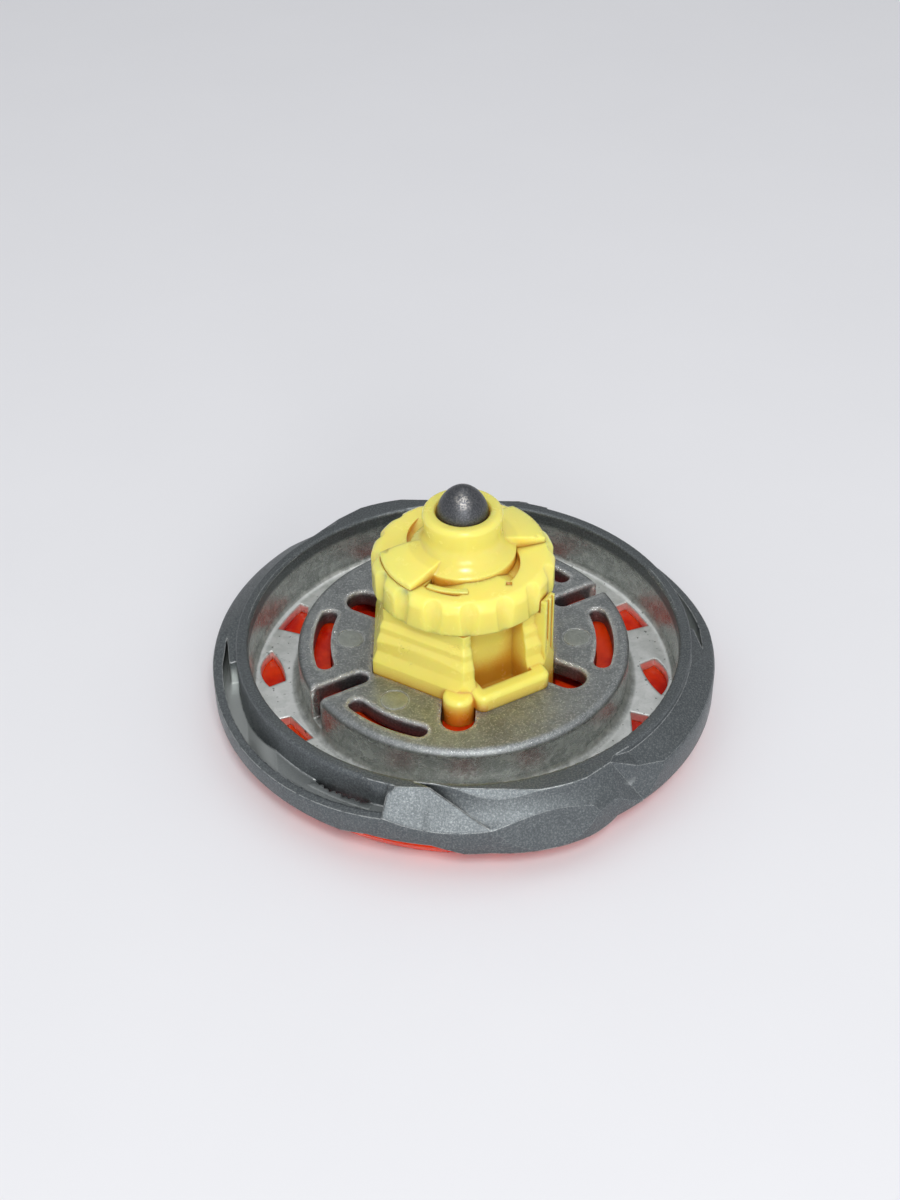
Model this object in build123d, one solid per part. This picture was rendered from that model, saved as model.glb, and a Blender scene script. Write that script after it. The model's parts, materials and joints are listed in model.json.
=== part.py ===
"""Light-up spinning top, lying on its face with the tip pointing up.

Frame: millimetres, +Z up, origin on the spin axis in the plane the face rests on.
Azimuths are in degrees from +X, counter-clockwise seen from above.
The top is the same after half a turn about Z unless a comment says otherwise.
"""
import os
from math import cos, degrees, radians, sin, sqrt

from build123d import *

# ---------------------------------------------------------------- driving sizes
# metal wheel
WHEEL_R = 22.7              # outer radius of the arms and flanks
SKIRT_WIDTH = 2.2           # from the rim's outer face to the wheel's edge
RIM_BAND = 1.1              # width of the rim's flat top
RIM_TOP_Z = 8.0
RIM_EDGE = 0.28             # easing of the rim's two top edges
WHEEL_BOTTOM_Z = 3.0        # underside of the arms and blades
FLANK_DROP = 1.75           # from the rim's top down to the flank's outer shoulder
FLANK_TOP_DROP = 0.75       # from the rim's top down to where the flank starts
FLANK_EASE = 0.4
FLANK_FROM_AZ = 298.0       # the flank starts inside the end of the blade
SLOT_FROM_AZ = 177.0        # the curved slot starts here as a sliver
SLOT_STEP_AZ = 186.0        # and opens to the rim here
SLOT_WIDE_AZ = 212.0        # it reaches its full width here
SLOT_TO_AZ = 252.5
SLOT_WIDTH = 1.5
SLOT_SLIVER = 0.12
SLOT_STEP_WIDTH = 0.4
SLOT_CORNER = 0.4
SLOT_FLOOR = 0.8            # height of the slot's floor above the arm's underside
SLOT_RAMP_AZ = 200.0        # the floor rises from here
SLOT_RAMP_LEAN = 12.0       # degrees by which the ramp starts later at the slot's outer side
SLOT_RAMP_SPAN = 18.0
SLOT_RAMP_RISE = 1.5
SLOT_HOLE_AZ = (232.0, 248.0)   # opening left at the foot of the rim
SLOT_HOLE_WIDTH = 0.75
ARM_DIP = 1.15              # the arm's top dips by this below the flank's shoulder
ARM_DIP_AZ = 217.0
ARM_DIP_SPAN = 76.0
WEB_TOP_Z = 3.0
WEB_THICKNESS = 1.0
WEB_FILLET = 0.7
HUB_R = 15.0
HUB_TOP_Z = 7.1
HUB_PLATE = 1.6
HUB_WALL = 1.1
HUB_EDGE_ROUND = 0.6

# blade: a bulge of the wheel's edge, cut by flat facets and one hollow scoop
BLADE_FROM_AZ = 246.0
BLADE_LAP = 1.0             # degrees by which the arm runs into the blade
SHOULDER_AZ = 252.0         # the left facet leaves the arm's shoulder here
ENTRY_AZ = 254.0            # the rise from the flank to the blade ends here
BLADE_BULGE = 0.5           # how far the blade stands out beyond the arms
BLADE_UNDERCUT = 0.9        # rise of the underside where an arm meets its blade
UNDERCUT_FROM_AZ = 238.0    # the underside rises gently from here
UNDERCUT_FULL_AZ = 249.0
UNDERCUT_END_AZ = 263.0     # and drops steeply from here
UNDERCUT_TO_AZ = 270.0
PEAK_AZ = 275.7             # sharp corner of the blade
PEAK_DROP = 2.4             # from the rim's top down to that corner
RIDGE_AZ = 262.0            # inner end of the scoop's straight wall
RIDGE_INSET = 0.35
CREST_AZ = 294.0            # highest stretch of the blade's outer edge
CREST_OUT = 1.3             # outwards of the rim
BROW_AZ = 305.3             # inner end of the crest
BROW_OUT = 0.45
HEEL_AZ = 296.6             # lower outer corner of the side facet
HEEL_DROP = 2.5
HEEL_OUT = 0.5
SPUR_AZ = 301.0             # corner where the side facet turns into the end facet
SPUR_DROP = 1.7
SPUR_OUT = 0.2
NOTCH_AZ = 306.5            # narrowest point, between the blade and the flank
NOTCH_IN = 0.5
TOE_AZ = 312.2              # the flank's edge starts here
TOE_RISE = 0.2
RAMP_TOP_AZ = 319.0         # the flank is at its full height from here
END_CUT_TO_AZ = 323.0       # the cut that shapes the flank's end reaches this far
SCOOP_OFFSET = 6.3          # the scoop curves round a centre this far off the axis
SCOOP_TURN = 24.3           # that centre's azimuth, measured from the sharp corner
SCOOP_WIDTH = 2.05
SCOOP_SAG = 0.35
SCOOP_LEAN = 0.2

# openings in the web, as shares of its width
FANG = (0.64, 0.85, 0.72)
FANG_AZ = (6.0, -3.0, -10.3)
FANG_HEEL = 0.30
FANG_HEEL_AZ = 3.6
FANG_MID = 0.42
FANG_MID_AZ = -4.0
WIDE_WINDOW_AZ = (20.5, 33.0)
WIDE_WINDOW_IN = (0.36, 0.2)
SHORT_WINDOW_AZ = (-33.0, -20.0)
SHORT_WINDOW_IN = (0.62, 0.2)
SMALL_WINDOW_AZ = (-64.0, -90.0, -115.0)
SMALL_WINDOW_SPAN = 10.0
SMALL_WINDOW_IN = 0.45

# holes in the wheel's hub
HEX_GAP = 0.1               # play between the core and the hub, each side
LOBE_R = 1.5
LOBE_LAND = 4.2             # from the hub's edge in to the lobe's centre
KEY_SLOT_WIDTH = 1.7
KEY_SLOT_LENGTH = 4.4
KEY_SLOT_FLOOR = 0.6        # the slot's floor lies this far above the web
LIGHT_SLOT_LAND = 2.2       # from the hub's edge in to the middle of a curved slot
LIGHT_SLOT_WIDTH = 1.6
LIGHT_SLOT_AZ = ((-19.0, 19.0), (-140.0, -104.0))
PIN_MARK_R = 1.3
PIN_MARK_LAND = 4.75
PIN_MARK_DEPTH = 0.08
PIN_MARK_LINE = 0.15
PIN_MARK_AZ = (0.0, 54.0)

# light ring, under the wheel
RING_OUT = 0.5              # how far the ring stands out beyond the rim
RING_LIP = 0.6              # height of its edge above the web's underside
RING_EDGE = 0.2
RING_DECK = 1.1             # thickness of the flat deck
RING_FOOT_WIDTH = 2.4       # width of the band it rests on
RING_FOOT_SLOPE = 0.5
RING_CHAMFER = 1.3
RING_WALL_GAP = 0.1         # play outside the rim
RING_BEAD_WIDTH = 1.7       # radial width of the band the hub slots show
RING_BEAD_GAP = 0.1         # play under the hub plate and inside the hub wall
RING_BORE_R = 7.4
RING_RIBS = 12
RIB_WIDTH = 1.2
RIB_LIFT = 0.25             # the ribs clear the surface the top rests on
RING_HUB = 0.8              # width of the band round the lens
RING_FACE_Z = 0.3
LENS_LIP = 1.1              # inward lip that holds the face lens
BOSS_GAP = 0.12
BOSS_DROP = 1.3             # from the hub's top down to a boss round a leg
EMPTY_BOSS_DROP = 2.2

# face lens
LENS_GAP = 0.1
LENS_FLOOR_Z = 0.2
LENS_THICKNESS = 1.0
LENS_SKIRT = 0.9
LENS_EDGE = 1.2
LENS_RISE = 0.35

# core housing
CORE_AF = 16.0              # across flats
CORE_RISE = 6.75            # from the hub's top to the core's flat top
CORE_FIRST_RISER = 1.3      # upright height above the hub before the first ledge
TIER_STEPS = (0.40, 0.34, 0.30)
TIER_SLOPES = (1.1, 0.9, 0.6)
TIER_GAPS = (1.0, 0.6)      # upright heights between the ledges
BLUNT_CORNER = 0.35         # taken off the two corners above the legs
SLIM_CORNER = 0.55          # taken off the two corners with a post
POST_RISE = 1.3             # above the core's flat top
POST_WIDTH = 1.6
POST_GAP = 0.12             # play outside the dial
RIB_GROOVE = 0.32
RIB_GROOVE_DEPTH = 0.2
RIB_GROOVE_PITCH = 0.7
POCKET_DEPTH = 2.7
POCKET_LEFT = 3.3
POCKET_RIGHT = 1.9
POCKET_SINK = 1.2           # below the hub's top
CLAMP_OUT = 1.55            # how far the U-shaped clamp bar stands out of the core's face
CLAMP_LEFT = 3.9
CLAMP_RIGHT = 3.4
CLAMP_BAR = 1.25
CLAMP_MOUTH = (2.9, 2.1)    # the opening, left and right of its middle
CLAMP_LAP = 1.4             # how far its arms run into the core
CLAMP_HEIGHT = 1.55
CLAMP_CORNER = 0.8
CLAMP_ROUND = 0.45
LEG_R = 1.4
LEG_CENTRE_R = 8.9
LEG_AZ = 267.2              # the other leg is half a turn round
LEG_ROUND = 0.5             # rounding of a leg's top, level with the first ledge
LEG_SINK = 0.3              # depth of the leg's seat in the light ring
STOP_FROM_AZ = -72.0        # stop lug on the core's top, inside the dial
STOP_TO_AZ = -56.0
STOP_HEIGHT = 1.0
STOP_R = 6.0
STOP_GAP = 0.15
STOP_SPARE = 1.0            # degrees left at each end of the dial's travel
TURN_BACK = 22.0
TURN_ON = 12.0

# lock dial
DIAL_R = 8.05
DIAL_HEIGHT = 3.3
DIAL_GAP = 0.06             # running gap over the core
DIAL_SHOULDER = 1.1         # height of the rounded shoulder
DIAL_SHOULDER_IN = 0.8
DIAL_EASE = 0.2
DIAL_FLUTES = 16
FLUTE_DEPTH = 0.55
FLUTE_SHARE = 0.52          # of the pitch
FLUTE_LEAN = 8.0            # the flutes run out towards the dial's foot
FLUTE_FIRST_AZ = -86.3
GROOVE_R = 4.85             # outer edge of the shallow crescent groove
GROOVE_OFFSET = 1.7         # from the axis to the centre of that edge
GROOVE_AZ = -87.0           # the crescent is widest here
GROOVE_DEPTH = 0.6
GROOVE_ENDS = ((-123.0, -112.0, -88.0), (-3.0, -36.0, -52.0))  # end, foot and head of each ramp
TICK_AZ = -51.0
TICK_SIZE = 0.5
TICK_DEPTH = 0.25

# tip holder and tip
HOLDER_BASE_R = 4.65
HOLDER_GAP = 0.05
HOLDER_BASE_RISE = 0.29     # above the dial
COLLAR_RISE = 4.29          # above the dial
COLLAR_R = 3.5
COLLAR_WAIST_R = 3.4
COLLAR_WAIST_DROP = 1.6     # from the collar's top
COLLAR_ROUND = 0.45
WING_R = 7.25
WING_FROM_AZ = 8.0
WING_TO_AZ = 52.0
WING_ROOT_SPREAD = 9.0      # degrees by which each side widens at the flare
WING_WAIST_R = 5.7
WING_WAIST_SPREAD = 3.0
WING_SINK = 0.6
WING_RISE = 1.35
WING_MID_R = 5.0
WING_MID_RISE = 1.0
WING_EDGE = 0.5
SHANK_R = 1.6
SHANK_GAP = 0.05
TIP_R = 2.25
TIP_GAP = 0.12
TIP_MOUTH = 0.15            # easing of the collar's mouth
TIP_SEAT_DROP = 2.3         # from the collar's top down to the tip's seat
TIP_RISE = 2.4              # from the collar's top to the point
TIP_STRAIGHT = 0.1
TIP_WAIST = (0.70, 0.62)    # shares of the tip's radius and of the dome's height
TIP_BLUNT_R = 0.25
TIP_STEM_R = 1.2
TIP_STEM_LENGTH = 3.0
TIP_STEM_GAP = 0.02
TIP_STEM_END = 0.1
CLIP_R = 2.3
CLIP_THICKNESS = 0.4
CLIP_GAP = 0.08
CLIP_NECK_R = 1.15
CLIP_MOUTH = 0.8            # of the neck
CLIP_GRIP = 0.02

# electronics
BOARD_LIFT = 1.0            # above the web's underside
BOARD_THICKNESS = 0.8
BOARD_GAP = 0.15
BOARD_KEY_R = 0.8
BOARD_KEY_AZ = 210.0
CELL_R = 3.95
CELL_HEIGHT = 3.6
CELL_CAP_R = 3.0
CELL_CAP_HEIGHT = 0.5
CELL_EDGE = 0.15
SLEEVE_WALL = 0.08
SLEEVE_GAP = 0.02
BORE_GAP = 0.06
CONTACT_RISE = 0.8          # free height of the negative contact
CONTACT_SHEET = 0.15
CONTACT_RIM = (1.8, 2.6)
CONTACT_DOME = (0.5, 1.2)
STRAP_WIDTH = 2.2
STRAP_GROOVE_GAP = 0.15
STRAP_REACH = 1.5           # past the axis
STRAP_AZ = 30.0
LED_LENGTH = 2.0
LED_WIDTH = 1.25
LED_HEIGHT = 0.8
LED_BASE = 0.45             # of the height
LED_LENS = (0.9, 0.6)       # of the width and length
LED_CENTRE_R = 5.0
LED_AZ = (60.0, 180.0, 300.0)
CHIP_R = 1.5
CHIP_HEIGHT = 0.7
CHIP_CENTRE = (-1.6, 1.2)
RESISTOR_SIZE = (1.6, 0.8, 0.45)
RESISTOR_CENTRE = (-1.0, -2.6)

# spin switch, on the board's face side
SWITCH_LENGTH = 4.2
SWITCH_WIDTH = 2.4
SWITCH_HEIGHT = 1.5
SWITCH_WALL = 0.4
SWITCH_CENTRE_X = 3.9
WEIGHT_LENGTH = 1.2
WEIGHT_GAP = 0.06
WEIGHT_TRAVEL = 0.6
WEIGHT_EDGE = 0.12
SPRING_SHEET = 0.06
SPRING_FOLDS = 5
SPRING_HALF_WIDTH = 0.5
SPRING_HEIGHT = 0.6
CONTACT_PAD = 0.25

# fasteners
SCREW_R = 0.55
SCREW_HEAD_R = 1.05
SCREW_HEAD = 0.6
SCREW_HEAD_EDGE = 0.2
SCREW_HEAD_ROOM = 0.15
SCREW_PASS = 0.1
SCREW_DEPTH_IN_LEG = 3.4
SCREW_POINT = 0.4
SCREW_GAP = 0.04
SCREW_SEAT_Z = 1.0
SCREW_CROSS = 0.32
SCREW_CROSS_LENGTH = 1.3
SCREW_CROSS_DEPTH = 0.3

THROUGH = 1.0               # how far a cutter runs past the surface it opens

# ------------------------------------------------------------- derived sizes
RIM_OUTER_R = WHEEL_R - SKIRT_WIDTH
RIM_INNER_R = RIM_OUTER_R - RIM_BAND
WEB_WIDTH = RIM_INNER_R - HUB_R
WEB_UNDER_Z = WEB_TOP_Z - WEB_THICKNESS
HUB_UNDER_Z = HUB_TOP_Z - HUB_PLATE
HUB_INNER_R = HUB_R - HUB_WALL
LOBE_CENTRE_R = HUB_R - LOBE_LAND
RING_OUTER_R = RIM_OUTER_R + RING_OUT
LENS_TOP_Z = LENS_FLOOR_Z + LENS_THICKNESS
BOARD_Z = WEB_UNDER_Z + BOARD_LIFT
BOARD_TOP_Z = BOARD_Z + BOARD_THICKNESS
CORE_R = CORE_AF / 2
CORE_CORNER = CORE_AF / sqrt(3)
CORE_TOP_Z = HUB_TOP_Z + CORE_RISE
CLAMP_INNER_R = CORE_R + CLAMP_OUT - CLAMP_BAR
CELLS_Z = BOARD_TOP_Z + CONTACT_RISE
CELLS_TOP_Z = CELLS_Z + 2 * CELL_HEIGHT
BORE_R = CELL_R + SLEEVE_GAP + SLEEVE_WALL + BORE_GAP
BORE_TOP_Z = CELLS_TOP_Z + CONTACT_SHEET
CLIP_ROOM = CLIP_THICKNESS + 2 * CLIP_GAP
CLIP_Z = BORE_TOP_Z + CLIP_GAP
DIAL_Z = CORE_TOP_Z + DIAL_GAP
DIAL_TOP_Z = DIAL_Z + DIAL_HEIGHT
DIAL_BORE_R = HOLDER_BASE_R + HOLDER_GAP
COLLAR_TOP_Z = DIAL_TOP_Z + COLLAR_RISE
TIP_SEAT_Z = COLLAR_TOP_Z - TIP_SEAT_DROP
TIP_TOP_Z = COLLAR_TOP_Z + TIP_RISE
LEG_LOBE_AZ = (LEG_AZ - 180, LEG_AZ)
EMPTY_LOBE_AZ = (150.0, 330.0)
POST_AZ = 330.0
FACE_AZ = 300.0             # the pocket's face looks this way


# ------------------------------------------------------------------- helpers
def at(r, az, z=0.0):
    return Vector(r * cos(radians(az)), r * sin(radians(az)), z)


def turned(shape, az=180.0):
    return Rot(0, 0, az) * shape


def twice(shape):
    """The shape and its copy half a turn round."""
    return shape + turned(shape)


def revolved(points, start=0.0, arc=360.0):
    """Solid of revolution about Z from a closed (radius, height) outline."""
    outline = Polyline([(r, 0, z) for r, z in points], close=True)
    return Rot(0, 0, start) * revolve(make_face(outline), axis=Axis.Z, revolution_arc=arc)


def sector(r_in, r_out, from_az, to_az, low, high):
    """Block between two radii, two azimuths and two heights."""
    return revolved([(r_in, low), (r_out, low), (r_out, high), (r_in, high)], from_az, to_az - from_az)


def tube(r_out, low, high, r_in=0.0):
    solid = Pos(0, 0, low) * extrude(Circle(r_out), high - low)
    if r_in > 0:
        solid -= Pos(0, 0, low) * extrude(Circle(r_in), high - low)
    return solid


def arc_slot(r, width, from_az, to_az, low, high):
    """Curved slot with round ends; the azimuths are its tips."""
    end = degrees(width / 2 / r)
    mid_line = CenterArc((0, 0), r, from_az + end, to_az - from_az - 2 * end)
    return Pos(0, 0, low) * extrude(SlotArc(mid_line, width), high - low)


def profile_turned(edges, start=0.0, arc=360.0):
    """Solid of revolution about Z from a closed chain of edges in the XZ plane."""
    return Rot(0, 0, start) * revolve(make_face(Wire(edges)), axis=Axis.Z, revolution_arc=arc)


def xz(r, z):
    return Vector(r, 0, z)


def chain(points):
    """Straight edges that join the points in turn."""
    return [Line(a, b) for a, b in zip(points, points[1:])]


def quarter(start, end, centre, bulge):
    """Arc that rounds a corner; bulge points from the centre to its middle."""
    reach = (start - centre).length
    return ThreePointArc(start, centre + bulge.normalized() * reach, end)


def above(block, a, b, c):
    """The part of a block on the outer and upper side of the plane through three points."""
    normal = (b - a).cross(c - a)
    if normal.dot(Vector(a.X, a.Y, a.Z)) < 0:
        normal = normal * -1
    plane = Plane(origin=a, z_dir=normal)
    return split(block, bisect_by=plane, keep=Keep.TOP)


def hexagon(across_flats):
    """Hexagon with corners at 30, 90, 150 ... degrees."""
    return Rot(0, 0, 30) * RegularPolygon(across_flats / sqrt(3), 6)


# --------------------------------------------------------------- metal wheel
def wheel_disc():
    """Hub, web and upright rim, all turned about the axis."""
    e = HUB_EDGE_ROUND
    f = WEB_FILLET
    c = RIM_EDGE
    hub_side = xz(HUB_R, HUB_TOP_Z - e)
    hub_foot = xz(HUB_R, WEB_TOP_Z + f)
    web_start = xz(HUB_R + f, WEB_TOP_Z)
    web_end = xz(RIM_INNER_R - f, WEB_TOP_Z)
    rim_foot = xz(RIM_INNER_R, WEB_TOP_Z + f)
    edges = [
        Line(xz(0, HUB_TOP_Z), xz(HUB_R - e, HUB_TOP_Z)),
        quarter(xz(HUB_R - e, HUB_TOP_Z), hub_side, xz(HUB_R - e, HUB_TOP_Z - e), xz(1, 1)),
        Line(hub_side, hub_foot),
        quarter(hub_foot, web_start, xz(HUB_R + f, WEB_TOP_Z + f), xz(-1, -1)),
        Line(web_start, web_end),
        quarter(web_end, rim_foot, xz(RIM_INNER_R - f, WEB_TOP_Z + f), xz(1, -1)),
        Line(rim_foot, xz(RIM_INNER_R, RIM_TOP_Z - c)),
        quarter(
            xz(RIM_INNER_R, RIM_TOP_Z - c), xz(RIM_INNER_R + c, RIM_TOP_Z),
            xz(RIM_INNER_R + c, RIM_TOP_Z - c), xz(-1, 1)),
        Line(xz(RIM_INNER_R + c, RIM_TOP_Z), xz(RIM_OUTER_R - c, RIM_TOP_Z)),
        quarter(
            xz(RIM_OUTER_R - c, RIM_TOP_Z), xz(RIM_OUTER_R, RIM_TOP_Z - c),
            xz(RIM_OUTER_R - c, RIM_TOP_Z - c), xz(1, 1)),
    ]
    edges += chain([
        xz(RIM_OUTER_R, RIM_TOP_Z - c),
        xz(RIM_OUTER_R, WEB_UNDER_Z),
        xz(HUB_INNER_R, WEB_UNDER_Z),
        xz(HUB_INNER_R, HUB_UNDER_Z),
        xz(0, HUB_UNDER_Z),
        xz(0, HUB_TOP_Z),
    ])
    return profile_turned(edges)


def flank_slope():
    """Both ends of the flank's straight slope, as radius and height."""
    e = FLANK_EASE
    head = (RIM_OUTER_R + e, RIM_TOP_Z - FLANK_TOP_DROP - e / 4)
    return head, (WHEEL_R - e, RIM_TOP_Z - FLANK_DROP + e / 4)


def flank():
    """Sloping skirt outside the rim, from the end of one blade to the start of the next."""
    inner = RIM_OUTER_R - RIM_BAND / 2
    e = FLANK_EASE
    shoulder = RIM_TOP_Z - FLANK_DROP
    top = RIM_TOP_Z - FLANK_TOP_DROP
    slope_head, slope_foot = flank_slope()
    skirt = [
        (inner, WHEEL_BOTTOM_Z),
        (WHEEL_R - e, WHEEL_BOTTOM_Z),
        (WHEEL_R, WHEEL_BOTTOM_Z + e),
        (WHEEL_R, shoulder - e),
        (WHEEL_R - e / 4, shoulder - e / 4),
        slope_foot,
        slope_head,
        (RIM_OUTER_R, top + e / 4),
        (inner, top + e / 4),
    ]
    return revolved(skirt, FLANK_FROM_AZ - 180, BLADE_FROM_AZ + BLADE_LAP - FLANK_FROM_AZ + 180)


def slot():
    """Crescent slot that parts a slim arm from the rim; its floor rises towards the blade."""
    low = WHEEL_BOTTOM_Z + SLOT_FLOOR
    near = RIM_OUTER_R
    far = near + SLOT_WIDTH
    corner = degrees(SLOT_CORNER / far)
    cut_back = SLOT_CORNER / 3
    first = at(far - SLOT_STEP_WIDTH, SLOT_FROM_AZ)
    step_out = at(far - SLOT_STEP_WIDTH / 2, SLOT_STEP_AZ)
    step_in = at(far - 2 * SLOT_STEP_WIDTH, SLOT_STEP_AZ)
    wide = at(far, SLOT_WIDE_AZ)
    turn_out = at(far, SLOT_TO_AZ - corner)
    end_out = at(far - SLOT_CORNER, SLOT_TO_AZ)
    end_in = at(near + SLOT_CORNER, SLOT_TO_AZ)
    turn_in = at(near, SLOT_TO_AZ - corner)
    outline = [
        Line(first, step_out),
        ThreePointArc(step_out, at(far - SLOT_STEP_WIDTH / 5, (SLOT_STEP_AZ + SLOT_WIDE_AZ) / 2), wide),
        ThreePointArc(wide, at(far, (SLOT_WIDE_AZ + SLOT_TO_AZ) / 2), turn_out),
        ThreePointArc(turn_out, at(far - cut_back, SLOT_TO_AZ - corner / 3), end_out),
        Line(end_out, end_in),
        ThreePointArc(end_in, at(near + cut_back, SLOT_TO_AZ - corner / 3), turn_in),
        ThreePointArc(turn_in, at(near, (SLOT_STEP_AZ + SLOT_TO_AZ) / 2), at(near, SLOT_STEP_AZ)),
        Line(at(near, SLOT_STEP_AZ), step_in),
        Line(step_in, first),
    ]
    cut = Pos(0, 0, low) * extrude(make_face(Wire(outline)), RIM_TOP_Z - low)
    high = low + SLOT_RAMP_RISE
    ramp_block = sector(near - SLOT_CORNER, WHEEL_R, SLOT_RAMP_AZ, SLOT_TO_AZ + 1, low - THROUGH, high)
    foot = at(near, SLOT_RAMP_AZ, low)
    foot_out = at(far, SLOT_RAMP_AZ + SLOT_RAMP_LEAN, low)
    head = at(near, SLOT_RAMP_AZ + SLOT_RAMP_SPAN, high)
    ramp = ramp_block - above(ramp_block, foot, foot_out, head)
    return cut - ramp


def slot_hole():
    """Narrow opening through the slot's floor, along the foot of the rim."""
    low = WHEEL_BOTTOM_Z - THROUGH
    near = RIM_OUTER_R
    from_az, to_az = SLOT_HOLE_AZ
    middle = (from_az + to_az) / 2
    crescent = [
        ThreePointArc(at(near, from_az), at(near, middle), at(near, to_az)),
        ThreePointArc(at(near, to_az), at(near + SLOT_HOLE_WIDTH, middle), at(near, from_az)),
    ]
    return Pos(0, 0, low) * extrude(make_face(Wire(crescent)), RIM_TOP_Z - RIM_EDGE - low)


def arm_dip():
    """Flat taken off the top of the arm, so that it lies lower beside the slot."""
    shoulder = RIM_TOP_Z - FLANK_DROP
    half = ARM_DIP_SPAN / 2
    block = sector(
        RIM_OUTER_R, WHEEL_R + SKIRT_WIDTH, ARM_DIP_AZ - ARM_DIP_SPAN, SLOT_TO_AZ, WHEEL_BOTTOM_Z, RIM_TOP_Z)
    return above(
        block, at(WHEEL_R, ARM_DIP_AZ, shoulder - ARM_DIP),
        at(WHEEL_R, ARM_DIP_AZ - half, shoulder), at(WHEEL_R, ARM_DIP_AZ + half, shoulder))


def blade():
    """Solid blade outside the rim, before its facets are cut."""
    inner = RIM_OUTER_R - RIM_BAND / 2
    start = at(WHEEL_R, BLADE_FROM_AZ)
    peak = at(WHEEL_R, PEAK_AZ)
    heel = at(WHEEL_R + BLADE_BULGE, HEEL_AZ)
    notch = at(WHEEL_R - NOTCH_IN, NOTCH_AZ)
    toe = at(WHEEL_R - SPUR_OUT, TOE_AZ)
    end = at(inner, TOE_AZ)
    outline = [
        Line(at(inner, BLADE_FROM_AZ), start),
        ThreePointArc(start, at(WHEEL_R, (BLADE_FROM_AZ + PEAK_AZ) / 2), peak),
        ThreePointArc(peak, at(WHEEL_R + BLADE_BULGE, (PEAK_AZ + HEEL_AZ) / 2), heel),
        ThreePointArc(heel, at(WHEEL_R + BLADE_BULGE / 4, (HEEL_AZ + NOTCH_AZ) / 2), notch),
        Line(notch, toe),
        Line(toe, end),
        ThreePointArc(end, at(inner, (BLADE_FROM_AZ + TOE_AZ) / 2), at(inner, BLADE_FROM_AZ)),
    ]
    blank = make_face(Wire(outline))
    return Pos(0, 0, WHEEL_BOTTOM_Z) * extrude(blank, RIM_TOP_Z - WHEEL_BOTTOM_Z)


def blade_cuts():
    """Everything taken off the blade and the rim and flank beside it."""
    low = WHEEL_BOTTOM_Z - THROUGH
    high = RIM_TOP_Z + THROUGH
    inner = RIM_INNER_R + RIM_EDGE
    outer = WHEEL_R + SKIRT_WIDTH
    block = sector(inner, outer, BLADE_FROM_AZ, BROW_AZ, low, high)
    end_block = sector(RIM_OUTER_R, outer, FLANK_FROM_AZ, END_CUT_TO_AZ, low, high)
    peak = at(WHEEL_R, PEAK_AZ, RIM_TOP_Z - PEAK_DROP)
    ridge = at(RIM_OUTER_R - RIDGE_INSET, RIDGE_AZ, RIM_TOP_Z)
    shoulder = at(WHEEL_R, SHOULDER_AZ, RIM_TOP_Z - FLANK_DROP)
    crest = at(RIM_OUTER_R + CREST_OUT, CREST_AZ, RIM_TOP_Z)
    brow = at(RIM_OUTER_R + BROW_OUT, BROW_AZ, RIM_TOP_Z)
    heel = at(WHEEL_R + HEEL_OUT, HEEL_AZ, RIM_TOP_Z - HEEL_DROP)
    spur = at(WHEEL_R + SPUR_OUT, SPUR_AZ, RIM_TOP_Z - SPUR_DROP)
    toe = at(WHEEL_R, TOE_AZ, WHEEL_BOTTOM_Z + TOE_RISE)
    ramp_top = at(WHEEL_R, RAMP_TOP_AZ, RIM_TOP_Z - FLANK_DROP)
    belly = at(WHEEL_R + BLADE_BULGE, (PEAK_AZ + HEEL_AZ) / 2, WHEEL_BOTTOM_Z)

    entry_block = sector(RIM_OUTER_R, outer, BLADE_FROM_AZ, ENTRY_AZ, low, high)
    foot_in = at(RIM_OUTER_R, BLADE_FROM_AZ, RIM_TOP_Z - FLANK_TOP_DROP)
    foot_out = at(WHEEL_R, BLADE_FROM_AZ, RIM_TOP_Z - FLANK_DROP)
    entry = above(entry_block, foot_in, foot_out, at(RIM_OUTER_R, ENTRY_AZ, RIM_TOP_Z))
    left_facet = above(block, peak, ridge, shoulder)
    front_facet = above(block, peak, crest, belly)
    side_facet = above(block, crest, brow, heel)
    notch = above(end_block, brow, spur, toe) & above(end_block, brow, toe, ramp_top)
    tail_block = sector(RIM_OUTER_R, outer, BROW_AZ, TOE_AZ, low, high)
    tail_in, tail_out = (at(r, TOE_AZ, z) for r, z in flank_slope())
    tail_facet = above(tail_block, brow, tail_in, tail_out)

    centre = at(SCOOP_OFFSET, PEAK_AZ + SCOOP_TURN)
    peak_reach = (Vector(peak.X, peak.Y, 0) - centre).length
    rim_reach = peak_reach - SCOOP_WIDTH
    far = peak_reach + SKIRT_WIDTH
    sag = xz((peak_reach + rim_reach) / 2 - SCOOP_LEAN, (peak.Z + RIM_TOP_Z) / 2 - SCOOP_SAG)
    edges = [ThreePointArc(xz(rim_reach, RIM_TOP_Z), sag, xz(peak_reach, peak.Z))]
    edges += chain([
        xz(peak_reach, peak.Z), xz(far, peak.Z), xz(far, high), xz(rim_reach, high),
        xz(rim_reach, RIM_TOP_Z)])
    bowl = Pos(centre.X, centre.Y, 0) * profile_turned(edges)
    run = Vector(peak.X - ridge.X, peak.Y - ridge.Y, 0)
    wall = Plane(origin=ridge, z_dir=Vector(-run.Y, run.X, 0))
    scoop = split(bowl & block, bisect_by=wall, keep=Keep.TOP)
    return [entry, left_facet, front_facet, side_facet, notch, tail_facet, scoop, undercut()]


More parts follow.
